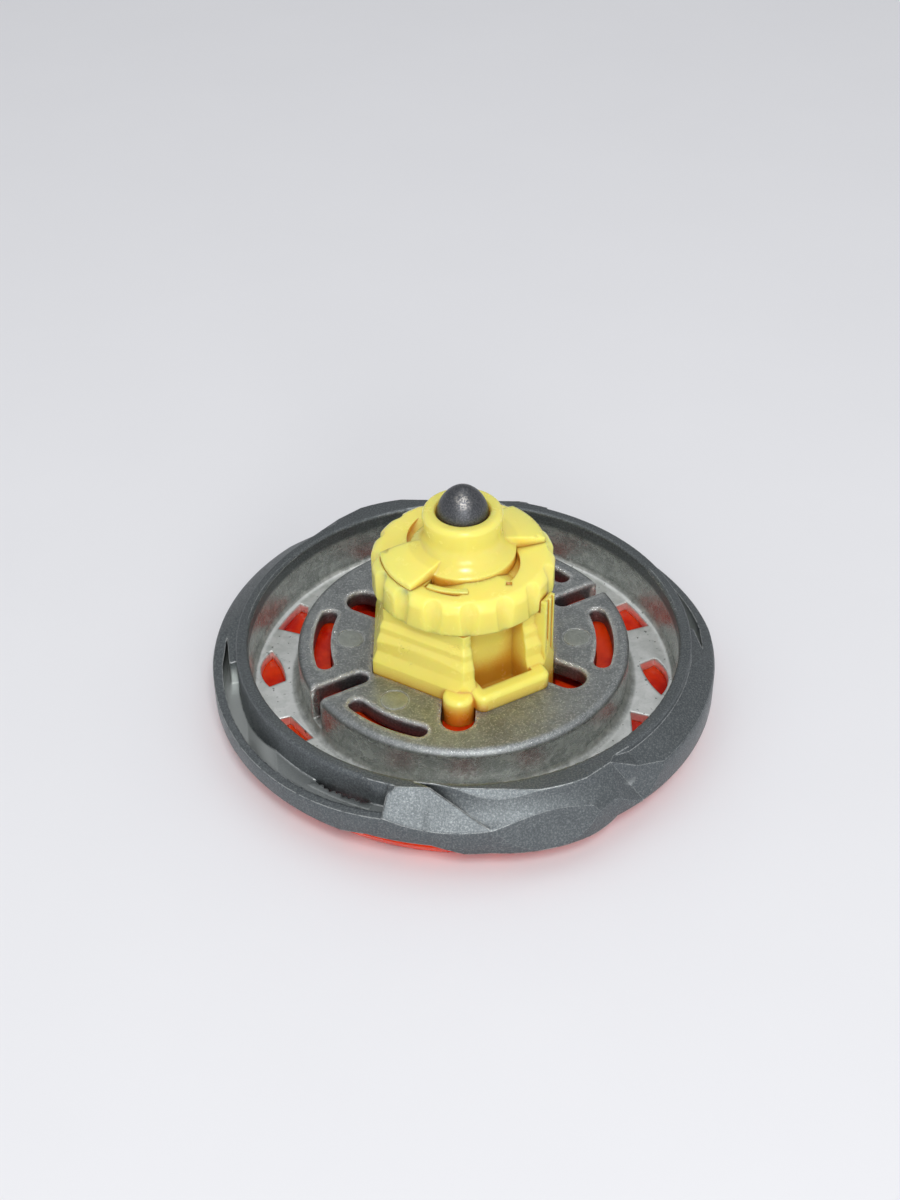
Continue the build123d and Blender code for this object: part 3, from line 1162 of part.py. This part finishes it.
def build():
    nodes = {
        "metal_wheel": make_wheel(),
        "light_ring": make_light_ring(),
        "face_lens": make_face_lens(),
        "core_housing": make_core(),
        "lock_dial": make_dial(),
        "tip_holder": make_holder(),
        "metal_tip": make_tip(),
        "retaining_clip": make_clip(),
        "circuit_board": make_board(),
        "driver_chip": make_chip(),
        "series_resistor": make_resistor(),
        "button_cell_lower": cell(CELLS_Z),
        "button_cell_upper": cell(CELLS_Z + CELL_HEIGHT),
        "cell_sleeve": make_sleeve(),
        "negative_contact": make_negative_contact(),
        "positive_contact": make_positive_contact(),
        "switch_case": make_switch_case(),
        "switch_weight": make_switch_weight(),
        "switch_spring": make_switch_spring(),
        "switch_contact": make_switch_contact(),
        "core_screws": make_screws(),
    }
    for number, az in enumerate(LED_AZ, start=1):
        nodes[f"led_{number}"] = make_led(az)
    return nodes


os.makedirs("parts", exist_ok=True)
for name, shape in build().items():
    export_step(shape, f"parts/{name}.step")
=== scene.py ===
"""Looks of the light-up spinning top, lying on its face on a pale table.

Everything is in metres, in the part's own frame: +Z is the spin axis, the tip points up.
"""
import json
import math

import bpy
from mathutils import Matrix, Vector

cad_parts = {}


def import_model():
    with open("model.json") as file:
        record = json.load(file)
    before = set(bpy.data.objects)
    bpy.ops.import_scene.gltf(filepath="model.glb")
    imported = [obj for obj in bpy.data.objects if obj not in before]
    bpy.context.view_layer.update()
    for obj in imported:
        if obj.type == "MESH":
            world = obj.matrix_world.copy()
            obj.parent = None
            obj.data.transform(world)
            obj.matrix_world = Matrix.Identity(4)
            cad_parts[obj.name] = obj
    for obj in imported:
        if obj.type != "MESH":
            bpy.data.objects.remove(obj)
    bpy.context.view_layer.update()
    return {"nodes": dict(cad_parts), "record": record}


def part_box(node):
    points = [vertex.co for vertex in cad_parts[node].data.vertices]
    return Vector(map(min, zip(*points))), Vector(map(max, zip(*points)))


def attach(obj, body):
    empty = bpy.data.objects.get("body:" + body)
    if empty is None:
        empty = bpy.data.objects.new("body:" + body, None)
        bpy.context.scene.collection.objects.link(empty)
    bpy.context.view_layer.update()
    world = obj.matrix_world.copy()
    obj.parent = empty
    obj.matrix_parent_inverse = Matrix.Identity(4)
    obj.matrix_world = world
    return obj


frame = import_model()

MM = 0.001
WHEEL_LOW, WHEEL_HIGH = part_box("metal_wheel")

# radii and heights that the finishes change at
WHEEL_R = WHEEL_HIGH.y
RIM_OUT_R = WHEEL_R - 2.2 * MM
RIM_IN_R = RIM_OUT_R - 1.1 * MM
SLOT_OUT_R = RIM_OUT_R + 1.5 * MM    # the slot runs along the outside of the rim
SLOT_PAINTED_LIGHT_TO = 6.0 * MM               # and carries a painted reflection, light grey from its floor up to here
HUB_R = WHEEL_R - 7.7 * MM
HUB_TOP = WHEEL_HIGH.z - 0.9 * MM
WEB_TOP = WHEEL_LOW.z + 1.0 * MM     # floor of the trough between the hub and the rim
DIAL_TOP = 17.2 * MM
COLLAR_FOOT_R = 5.0 * MM
LEG_FROM_R = 7.2 * MM
LEG_HALF_WIDTH = 2.2 * MM

# round marks of the mould's pins, on the hub
PIN_CENTRE_R = 10.25 * MM
PIN_R = 1.18 * MM
PIN_AZIMUTHS = (0, 180, 54, 234)

# painted highlight on the steel tip's front, and where its point is worn
FRONT_HIGHLIGHT_SPOT = (0.0, -1.6 * MM, 23.6 * MM)
FRONT_HIGHLIGHT_SPOT_R = 1.3 * MM
POINT_FROM = 23.8 * MM
POINT_TO = 24.6 * MM


# ------------------------------------------------------------------ materials
class Finish:
    """One node material; each method adds a step and returns its output socket."""

    # places of a colour mix's sockets, whose names other kinds of mix have too
    MIX_INPUTS = (0, 6, 7)
    MIX_OUTPUT = 2

    def __init__(self, name):
        self.material = bpy.data.materials.new(name)
        self.material.use_nodes = True
        self.tree = self.material.node_tree
        self.shader = self.tree.nodes["Principled BSDF"]
        self.place = self.add("ShaderNodeTexCoord").outputs["Object"]

    def add(self, kind, **settings):
        node = self.tree.nodes.new(kind)
        for key, value in settings.items():
            setattr(node, key, value)
        return node

    def link(self, source, target):
        """Joins a socket to the target, or gives the target a plain value."""
        if isinstance(source, (int, float, tuple)):
            target.default_value = source
        else:
            self.tree.links.new(source, target)

    def set(self, **values):
        """Sets the shader's inputs, with _ for each space in a name."""
        for key, value in values.items():
            self.link(value, self.shader.inputs[key.replace("_", " ")])

    def noise(self, size, detail=4.0, rough=0.55, stretch=(1, 1, 1), lumps=0.0):
        """Soft noise from 0 to 1 in patches about size metres wide; lumps above 0 swirls them."""
        spread = self.add("ShaderNodeMapping")
        spread.inputs["Scale"].default_value = stretch
        self.link(self.place, spread.inputs["Vector"])
        node = self.add("ShaderNodeTexNoise")
        self.link(spread.outputs["Vector"], node.inputs["Vector"])
        node.inputs["Scale"].default_value = 1 / size
        node.inputs["Detail"].default_value = detail
        node.inputs["Roughness"].default_value = rough
        node.inputs["Distortion"].default_value = lumps
        return node.outputs["Fac"]

    def math(self, operation, a, b=0.0):
        node = self.add("ShaderNodeMath", operation=operation)
        self.link(a, node.inputs[0])
        self.link(b, node.inputs[1])
        return node.outputs[0]

    def times(self, first, *others):
        product = first
        for value in others:
            product = self.math("MULTIPLY", product, value)
        return product

    def plus(self, a, b):
        return self.math("ADD", a, b)

    def most(self, a, b):
        return self.math("MAXIMUM", a, b)

    def ramp(self, value, start, end, low=0.0, high=1.0):
        """Maps start..end to low..high, held at both ends."""
        node = self.add("ShaderNodeMapRange", interpolation_type="SMOOTHSTEP")
        self.link(value, node.inputs["Value"])
        self.link(start, node.inputs["From Min"])
        self.link(end, node.inputs["From Max"])
        self.link(low, node.inputs["To Min"])
        self.link(high, node.inputs["To Max"])
        return node.outputs["Result"]

    def above(self, value, limit, fade=0.1 * MM):
        """0 up to the limit, and 1 from the fade above it."""
        return self.ramp(value, limit, limit + fade)

    def below(self, value, limit, fade=0.1 * MM):
        """0 down to the limit, and 1 from the fade below it."""
        return self.ramp(value, limit, limit - fade)

    def band(self, value, middle, reach):
        """1 where the value is at the middle, down to 0 at reach on either side."""
        away = self.math("ABSOLUTE", self.math("SUBTRACT", value, middle))
        return self.ramp(away, reach, reach * 0.6)

    def mix(self, share, a, b):
        """Colour a where share is 0 and b where it is 1."""
        node = self.add("ShaderNodeMix", data_type="RGBA")
        for value, index in zip((share, a, b), self.MIX_INPUTS):
            self.link(value, node.inputs[index])
        return node.outputs[self.MIX_OUTPUT]

    def parts(self):
        """Radius from the spin axis, height, and x."""
        split = self.add("ShaderNodeSeparateXYZ")
        self.link(self.place, split.inputs["Vector"])
        x, y, z = split.outputs
        radius = self.math("SQRT", self.plus(self.times(x, x), self.times(y, y)))
        return radius, z, x

    def near(self, points):
        """Distance to the nearest of the points."""
        nearest = 1.0
        for point in points:
            away = self.add("ShaderNodeVectorMath", operation="DISTANCE")
            self.link(self.place, away.inputs[0])
            away.inputs[1].default_value = point
            nearest = self.math("MINIMUM", away.outputs["Value"], nearest)
        return nearest

    def soft_normal(self, width, samples):
        """The surface's normal, with its edges rounded by width."""
        soft = self.add("ShaderNodeBevel", samples=samples)
        self.link(width, soft.inputs["Radius"])
        return soft.outputs["Normal"]

    def edges(self, width):
        """1 on sharp edges, 0 on flat stretches."""
        flat = self.add("ShaderNodeNewGeometry")
        dot = self.add("ShaderNodeVectorMath", operation="DOT_PRODUCT")
        self.link(self.soft_normal(width, samples=6), dot.inputs[0])
        self.link(flat.outputs["Normal"], dot.inputs[1])
        return self.ramp(dot.outputs["Value"], 0.995, 0.9)

    def relief(self, height, depth, edge=None):
        """Surface relief of that depth in metres, over edges rounded by edge metres."""
        bump = self.add("ShaderNodeBump")
        bump.inputs["Distance"].default_value = depth
        self.link(height, bump.inputs["Height"])
        if edge:
            self.link(self.soft_normal(edge, samples=8), bump.inputs["Normal"])
        self.link(bump.outputs["Normal"], self.shader.inputs["Normal"])

    def translucent(self, share, colours, depth):
        """Light goes in for about depth metres, as far in each colour as colours says."""
        self.set(Subsurface_Weight=share, Subsurface_Radius=colours, Subsurface_Scale=depth)


def linear(channel):
    """Linear light of one sRGB channel, both from 0 to 1."""
    return ((channel + 0.055) / 1.055) ** 2.4 if channel > 0.04045 else channel / 12.92


def rgb(*channels):
    """Linear colour from the usual 0..255 values."""
    return tuple(linear(v / 255) for v in channels) + (1.0,)


def grey(value):
    """The same value in each channel, for mixing plain numbers as colours."""
    return (value, value, value, 1.0)


def zinc_zones(f):
    """Hub top, hub edge, the slot floor's painted reflection, trough and upright walls, each from 0 to 1."""
    radius, height, _ = f.parts()
    hub_top = f.times(
        f.below(radius, HUB_R + 0.3 * MM, 0.3 * MM),
        f.above(height, HUB_TOP - 0.6 * MM, 0.4 * MM))
    hub_edge = f.times(
        f.below(radius, HUB_R + 0.4 * MM, 0.2 * MM),
        f.above(height, HUB_TOP - 1.2 * MM, 0.4 * MM))
    slot_painted_light = f.times(
        f.below(radius, SLOT_OUT_R),
        f.above(radius, RIM_OUT_R),
        f.below(height, SLOT_PAINTED_LIGHT_TO, 1.4 * MM))
    trough = f.times(
        f.below(height, WEB_TOP + 0.8 * MM, 0.5 * MM),
        f.below(radius, RIM_IN_R))
    walls = f.times(
        f.most(f.band(radius, HUB_R, 0.9 * MM), f.band(radius, RIM_IN_R, 0.4 * MM)),
        f.below(height, HUB_TOP - 0.2 * MM, 0.5 * MM))
    return hub_top, hub_edge, slot_painted_light, trough, walls


def pin_marks(f):
    """1 on the round marks that the mould's pins left on the hub."""
    turns = [math.radians(azimuth) for azimuth in PIN_AZIMUTHS]
    centres = [(PIN_CENTRE_R * math.cos(t), PIN_CENTRE_R * math.sin(t), HUB_TOP) for t in turns]
    return f.below(f.near(centres), PIN_R)


def cast_zinc():
    """Tumbled zinc casting: dull grey outside, bright in the trough, smooth on the upright walls, with a
    painted reflection on the slot's floor and a painted highlight on the polished hub edges.
    """
    f = Finish("cast zinc")
    grain = f.noise(0.16 * MM, detail=5, rough=0.75)
    fine = f.noise(0.07 * MM, detail=3, rough=0.7)
    patches = f.noise(3.0 * MM, detail=5, rough=0.6)
    smears = f.noise(1.1 * MM, detail=6, rough=0.7, lumps=0.6)
    hub_top, hub_edge, slot_painted_light, trough, walls = zinc_zones(f)
    worn = f.times(f.edges(0.16 * MM), f.ramp(f.noise(0.5 * MM, detail=3), 0.3, 0.55))
    # polished hub edges, partly worn metal and partly a painted highlight: near-white in sparkly specks
    polished_edge_highlight = f.times(f.edges(0.9 * MM), hub_edge, f.ramp(grain, 0.42, 0.58, 0.1, 1.0))

    # colour
    dull = f.mix(patches, rgb(84, 89, 92), rgb(104, 109, 111))
    dull = f.mix(f.ramp(grain, 0.42, 0.72), dull, rgb(138, 143, 144))
    dull = f.mix(f.ramp(fine, 0.62, 0.72), dull, rgb(58, 62, 64))
    silver = f.mix(f.ramp(smears, 0.35, 0.7), rgb(126, 130, 131), rgb(150, 154, 154))
    silver = f.mix(f.ramp(grain, 0.5, 0.7), silver, rgb(202, 205, 204))
    pin_tone = f.mix(smears, rgb(132, 138, 130), rgb(196, 200, 190))
    silver = f.mix(f.times(pin_marks(f), 0.6), silver, pin_tone)
    bright = f.mix(f.ramp(smears, 0.3, 0.7), rgb(232, 235, 231), rgb(252, 253, 251))
    bright = f.mix(f.ramp(f.noise(0.5 * MM), 0.62, 0.7), bright, rgb(140, 142, 138))
    shine = f.mix(f.ramp(smears, 0.25, 0.80), rgb(138, 141, 138), rgb(204, 207, 202))
    shine = f.mix(f.ramp(grain, 0.50, 0.70, 0.0, 0.6), shine, rgb(236, 238, 233))
    colour = f.mix(hub_top, dull, silver)
    # painted reflection: the slot's floor made light grey, as if lit
    colour = f.mix(slot_painted_light, colour, rgb(196, 200, 198))
    colour = f.mix(trough, colour, bright)
    colour = f.mix(f.times(walls, 0.85), colour, shine)
    colour = f.mix(worn, colour, rgb(205, 208, 206))
    # painted highlight on the polished hub edges
    colour = f.mix(polished_edge_highlight, colour, rgb(252, 253, 252))

    # gloss
    satin = f.plus(f.ramp(smears, 0.3, 0.7, 0.18, 0.32), f.times(trough, 0.16))
    rough = f.mix(f.most(trough, walls), f.ramp(patches, 0.3, 0.7, 0.36, 0.48), satin)
    rough = f.mix(polished_edge_highlight, rough, grey(0.2))
    f.set(Base_Color=colour, Metallic=0.84, Roughness=rough)

    # casting grain, with dents on the walls and on the polished hub edges that carry the painted highlight
    relief = f.plus(f.times(grain, 0.7), f.times(fine, 0.25))
    relief = f.times(relief, f.ramp(trough, 0.0, 1.0, 1.0, 0.35))
    relief = f.plus(relief, f.times(patches, 0.8))
    dents = f.times(f.noise(0.45 * MM, rough=0.7), f.most(walls, polished_edge_highlight))
    relief = f.plus(relief, f.times(dents, 1.8))
    f.relief(relief, 0.03 * MM, edge=f.ramp(hub_edge, 0.0, 1.0, 0.30 * MM, 0.55 * MM))
    return f.material


def clear_red(name, tone=(252, 60, 10)):
    """Glossy translucent red plastic, deeper in patches."""
    f = Finish(name)
    colour = f.mix(f.ramp(f.noise(3.5 * MM), 0.3, 0.6), rgb(200, 20, 3), rgb(*tone))
    f.set(Base_Color=colour, Roughness=0.16, IOR=1.42, Specular_IOR_Level=0.3, Transmission_Weight=0.1)
    f.translucent(0.6, (1.0, 0.15, 0.03), 4.0 * MM)
    f.relief(f.noise(0.8 * MM), 0.01 * MM, edge=0.1 * MM)
    return f.material


def yellow_plastic(name, tone=(241, 224, 106)):
    """Milky yellow plastic, with painted golden shade in its hollows, painted shade on the collar above the
    dial, and painted orange light from the clear red ring at the legs' feet.
    """
    f = Finish(name)
    radius, height, across = f.parts()
    scuffs = f.noise(1.5 * MM, detail=6, rough=0.7)
    red, green, blue = tone
    colour = f.mix(f.noise(6.0 * MM), rgb(*tone), rgb(red + 4, green + 6, blue + 14))

    # painted shade: deep golden orange where the surface is hemmed in
    painted_hollow_shade = f.add("ShaderNodeAmbientOcclusion", samples=8)
    painted_hollow_shade.inputs["Distance"].default_value = 3.5 * MM
    hollow_shade_share = f.ramp(painted_hollow_shade.outputs["AO"], 0.78, 0.36)
    colour = f.mix(f.times(hollow_shade_share, 0.85), colour, rgb(202, 132, 14))

    # painted shade: the collar above the dial made a little darker and greyer
    collar = f.times(f.below(radius, COLLAR_FOOT_R, 0.4 * MM), f.above(height, DIAL_TOP, 0.4 * MM))
    colour = f.mix(f.times(collar, 0.7), colour, rgb(230, 217, 110))

    # painted light: orange light from the clear red ring, darkening toward the legs' feet
    in_width = f.below(f.math("ABSOLUTE", across), LEG_HALF_WIDTH, 0.4 * MM)
    leg = f.times(f.above(radius, LEG_FROM_R, 0.6 * MM), in_width)
    painted_ring_light = f.times(leg, f.ramp(height, HUB_TOP + 1.2 * MM, HUB_TOP - 0.8 * MM, 0.0, 0.75))
    colour = f.mix(painted_ring_light, colour, rgb(212, 118, 30))

    strands = f.band(f.noise(0.7 * MM, detail=3, stretch=(0.25, 1.6, 1.0), lumps=1.5), 0.5, 0.005)
    hair = f.times(strands, f.ramp(f.noise(3.0 * MM, detail=2), 0.66, 0.70))
    colour = f.mix(f.times(hair, 0.5), colour, rgb(130, 108, 44))

    f.set(Base_Color=colour, IOR=1.5, Roughness=f.ramp(scuffs, 0.35, 0.7, 0.14, 0.30))
    f.translucent(0.75, (1.0, 0.72, 0.28), 1.8 * MM)
    f.relief(scuffs, 0.01 * MM, edge=0.3 * MM)
    return f.material


def worn_steel():
    """Dark turned steel, with a painted highlight of bright specks on the tip's front, and bright worn
    specks near its point.
    """
    f = Finish("worn steel")
    _, height, _ = f.parts()
    grain = f.noise(0.15 * MM, detail=6, rough=0.7)
    # painted highlight: a patch on the front of the tip, filled with bright specks
    front = f.ramp(f.near([FRONT_HIGHLIGHT_SPOT]), FRONT_HIGHLIGHT_SPOT_R, FRONT_HIGHLIGHT_SPOT_R - 0.9 * MM, 0.0, 0.8)
    point = f.ramp(height, POINT_FROM, POINT_TO, 0.0, 0.5)
    specks = f.ramp(f.noise(0.22 * MM, detail=6, rough=0.75), 0.46, 0.58)
    colour = f.mix(f.ramp(grain, 0.4, 0.7), rgb(78, 80, 84), rgb(112, 113, 116))
    # bright specks: a painted highlight on the front, and wear at the point
    colour = f.mix(f.times(f.most(front, point), specks), colour, rgb(176, 172, 166))
    f.set(Base_Color=colour, Metallic=0.8, Roughness=0.4)
    f.relief(grain, 0.02 * MM)
    return f.material


def simple(name, colour, metallic, roughness):
    """Plain finish with a faint speckle, for the pieces inside."""
    f = Finish(name)
    speck = f.noise(0.4 * MM)
    light = rgb(*colour)
    dark = tuple(0.85 * v for v in light[:3]) + (1.0,)
    gloss = f.ramp(speck, 0.3, 0.7, 0.85 * roughness, 1.15 * roughness)
    f.set(Base_Color=f.mix(speck, light, dark), Metallic=metallic, Roughness=gloss)
    return f.material


FINISHES = {
    "wheel_metal": cast_zinc(),
    "ring_red": clear_red("clear red ring"),
    "lens_red": clear_red("clear red lens", (246, 66, 18)),
    "core_yellow": yellow_plastic("yellow core"),
    "dial_yellow": yellow_plastic("yellow dial", (243, 227, 111)),
    "tip_metal": worn_steel(),
    "spring_steel": simple("spring steel", (170, 172, 175), metallic=0.9, roughness=0.3),
    "board_green": simple("green board", (24, 92, 46), metallic=0.0, roughness=0.35),
    "epoxy_black": simple("black epoxy", (22, 22, 23), metallic=0.0, roughness=0.35),
    "led_body": simple("white package", (235, 230, 214), metallic=0.0, roughness=0.3),
    "cell_steel": simple("nickel plate", (196, 197, 199), metallic=0.95, roughness=0.25),
    "sleeve_clear": simple("shrink film", (60, 96, 150), metallic=0.0, roughness=0.3),
    "contact_brass": simple("plated brass", (206, 172, 98), metallic=0.9, roughness=0.3),
    "switch_black": simple("black nylon", (20, 20, 22), metallic=0.0, roughness=0.5),
    "screw_steel": simple("zinc-plated steel", (180, 182, 184), metallic=0.9, roughness=0.3),
}


# ----------------------------------------------------------------- CAD pieces
EDGE_ROUND = {
    "metal_wheel": 0.12 * MM,
    "core_housing": 0.14 * MM,
    "lock_dial": 0.12 * MM,
    "tip_holder": 0.18 * MM,
}
SHARP_FROM = math.radians(28)    # edges that turn more than this are rounded
SEAM = 0.001 * MM


def round_edges(piece, width, segments):
    """Rounds the piece's sharp edges by width metres."""
    ease = piece.modifiers.new("eased edges", "BEVEL")
    ease.width = width
    ease.segments = segments
    ease.limit_method = "ANGLE"
    ease.harden_normals = True
    return ease


def dress(node, slot):
    """Gives a CAD piece its finish, and rounds its edges where they show."""
    piece = frame["nodes"][node]
    piece.data.materials.clear()
    piece.data.materials.append(FINISHES[slot])
    if node in EDGE_ROUND:
        weld = piece.modifiers.new("weld", "WELD")
        weld.merge_threshold = SEAM
        ease = round_edges(piece, EDGE_ROUND[node], segments=2)
        ease.angle_limit = SHARP_FROM
        ease.use_clamp_overlap = True


for sub in frame["record"]["subparts"]:
    dress(sub["node"], sub["material_slot"])


# --------------------------------------------------------------- small pieces
STRIP_STEPS = 60


def torn(share):
    """How far a torn edge is worn back, from 0 to 1, at that share of its length."""
    teeth = 0.5 + 0.28 * math.sin(61 * share) + 0.22 * math.sin(23 * share + 1)
    taper = math.sin(math.pi * min(max(share, 0.04), 0.96)) ** 0.3
    return teeth * taper


def arc_mesh(name, turn, radii, heights, ragged):
    """Strip along an arc about the spin axis, between two angles in degrees."""
    start, end = (math.radians(v) for v in turn)
    inner, outer = radii
    low, high = heights
    points = []
    faces = []
    for i in range(STRIP_STEPS + 1):
        share = i / STRIP_STEPS
        angle = start + (end - start) * share
        near = inner + ragged * torn(share)
        for r, z in ((near, low), (near, high), (outer, high), (outer, low)):
            points.append((r * math.cos(angle), r * math.sin(angle), z))
        if i:
            a, b = 4 * (i - 1), 4 * i
            for k in range(4):
                faces.append((a + k, a + (k + 1) % 4, b + (k + 1) % 4, b + k))
    faces.append((3, 2, 1, 0))
    faces.append(tuple(4 * STRIP_STEPS + k for k in range(4)))
    mesh = bpy.data.meshes.new(name)
    mesh.from_pydata(points, [], faces)
    mesh.validate()
    return mesh


def arc_strip(name, body, slot, turn, radii, heights, ragged=0.0, round_by=0.0):
    """Strip on a CAD body; ragged metres are torn from its inner edge, and its edges can be rounded."""
    mesh = arc_mesh(name, turn, radii, heights, ragged)
    mesh.materials.append(FINISHES[slot])
    piece = bpy.data.objects.new(name, mesh)
    bpy.context.scene.collection.objects.link(piece)
    if round_by:
        round_edges(piece, round_by, segments=3)
        mesh.shade_smooth()
    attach(piece, body)


FLASH_AZ = (232, 248.5)
FLASH_RADII = (20.62 * MM, 21.40 * MM)
FLASH_HEIGHTS = (5.26 * MM, 5.34 * MM)
FLASH_RAGGED = 0.42 * MM
LIP_AZ = (240, 274)
LIP_RADII = (5.75 * MM, 6.30 * MM)
LIP_HEIGHTS = (DIAL_TOP - 0.20 * MM, DIAL_TOP + 0.22 * MM)
LIP_ROUND = 0.1 * MM

# thin film torn along the slot's opening, and the low lip on the dial beside the collar
for side, half_turn in (("front", 0), ("back", 180)):
    flash_turn = [azimuth + half_turn for azimuth in FLASH_AZ]
    lip_turn = [azimuth + half_turn for azimuth in LIP_AZ]
    arc_strip(
        "torn_flash_" + side, "wheel", "wheel_metal",
        flash_turn, FLASH_RADII, FLASH_HEIGHTS, ragged=FLASH_RAGGED)
    arc_strip(
        "dial_lip_" + side, "dial", "dial_yellow",
        lip_turn, LIP_RADII, LIP_HEIGHTS, round_by=LIP_ROUND)


# ---------------------------------------------------------------------- stage
FLOOR_SIZE = 6.0


def floor():
    """Pale matt table top."""
    bpy.ops.mesh.primitive_plane_add(size=FLOOR_SIZE)
    plane = bpy.context.object
    plane.name = "table"
    f = Finish("table")
    tone = f.mix(f.noise(20 * MM, detail=3), rgb(230, 230, 233), rgb(233, 233, 236))
    f.set(Base_Color=tone, Roughness=0.6, Specular_IOR_Level=0.2)
    plane.data.materials.append(f.material)


def soft_light(name, place, aim, size, power):
    """Rectangular softbox at place, turned to aim; the power is in watts."""
    data = bpy.data.lights.new(name, "AREA")
    data.shape = "RECTANGLE"
    data.size, data.size_y = size
    data.energy = power
    lamp = bpy.data.objects.new(name, data)
    bpy.context.scene.collection.objects.link(lamp)
    lamp.location = place
    lamp.rotation_euler = (Vector(aim) - Vector(place)).to_track_quat("-Z", "Y").to_euler()


SKY_COLOUR = (0.96, 0.975, 1.0, 1)
SKY_FRONT = 0.64                 # strength in front of the part, where y of the direction is
SKY_FRONT_Y = -0.4               # this or less
SKY_BACK = 0.42                  # strength behind it, where y is
SKY_BACK_Y = 0.7                 # this or more


def world():
    """Pale room, a little darker behind the part than in front of it."""
    sky = bpy.data.worlds.new("studio")
    bpy.context.scene.world = sky
    sky.use_nodes = True
    nodes = sky.node_tree.nodes
    links = sky.node_tree.links
    background = nodes["Background"]
    background.inputs["Color"].default_value = SKY_COLOUR
    toward = nodes.new("ShaderNodeTexCoord")
    split = nodes.new("ShaderNodeSeparateXYZ")
    level = nodes.new("ShaderNodeMapRange")
    level.inputs["From Min"].default_value = SKY_FRONT_Y
    level.inputs["From Max"].default_value = SKY_BACK_Y
    level.inputs["To Min"].default_value = SKY_FRONT
    level.inputs["To Max"].default_value = SKY_BACK
    links.new(toward.outputs["Generated"], split.inputs["Vector"])
    links.new(split.outputs["Y"], level.inputs["Value"])
    links.new(level.outputs["Result"], background.inputs["Strength"])


CAMERA_PLACE = (0.0, -0.1246, 0.1122)
CAMERA_TURN = math.radians(-0.54)
CAMERA_DIP = math.radians(38.93)
CAMERA_ROLL = math.radians(-0.68)
CAMERA_LENS = 54                 # lens and sensor in millimetres, as Blender counts them
CAMERA_SENSOR = 36


def camera():
    """Camera at CAMERA_PLACE, turned about the upright, dipped and rolled."""
    forward = Vector((
        math.sin(CAMERA_TURN) * math.cos(CAMERA_DIP),
        math.cos(CAMERA_TURN) * math.cos(CAMERA_DIP),
        -math.sin(CAMERA_DIP)))
    level = Vector((math.cos(CAMERA_TURN), -math.sin(CAMERA_TURN), 0))
    upright = level.cross(forward)
    right = level * math.cos(CAMERA_ROLL) + upright * math.sin(CAMERA_ROLL)
    up = upright * math.cos(CAMERA_ROLL) - level * math.sin(CAMERA_ROLL)
    lens = bpy.data.cameras.new("camera")
    lens.lens = CAMERA_LENS
    lens.sensor_width = CAMERA_SENSOR
    lens.clip_start = 1 * MM
    eye = bpy.data.objects.new("camera", lens)
    bpy.context.scene.collection.objects.link(eye)
    eye.matrix_world = Matrix.Translation(CAMERA_PLACE) @ Matrix((right, up, -forward)).transposed().to_4x4()
    bpy.context.scene.camera = eye


floor()
world()
soft_light("front softbox", place=(0.03, -0.26, 0.34), aim=(0, 0, 0.005), size=(0.09, 0.09), power=0.72)
soft_light("low front panel", place=(0.06, -0.46, 0.17), aim=(0, 0, 0.006), size=(0.24, 0.12), power=0.50)
soft_light("overhead", place=(0.0, 0.05, 0.60), aim=(0, 0, 0), size=(0.5, 0.5), power=0.42)
camera()
bpy.context.scene.view_settings.view_transform = "Standard"
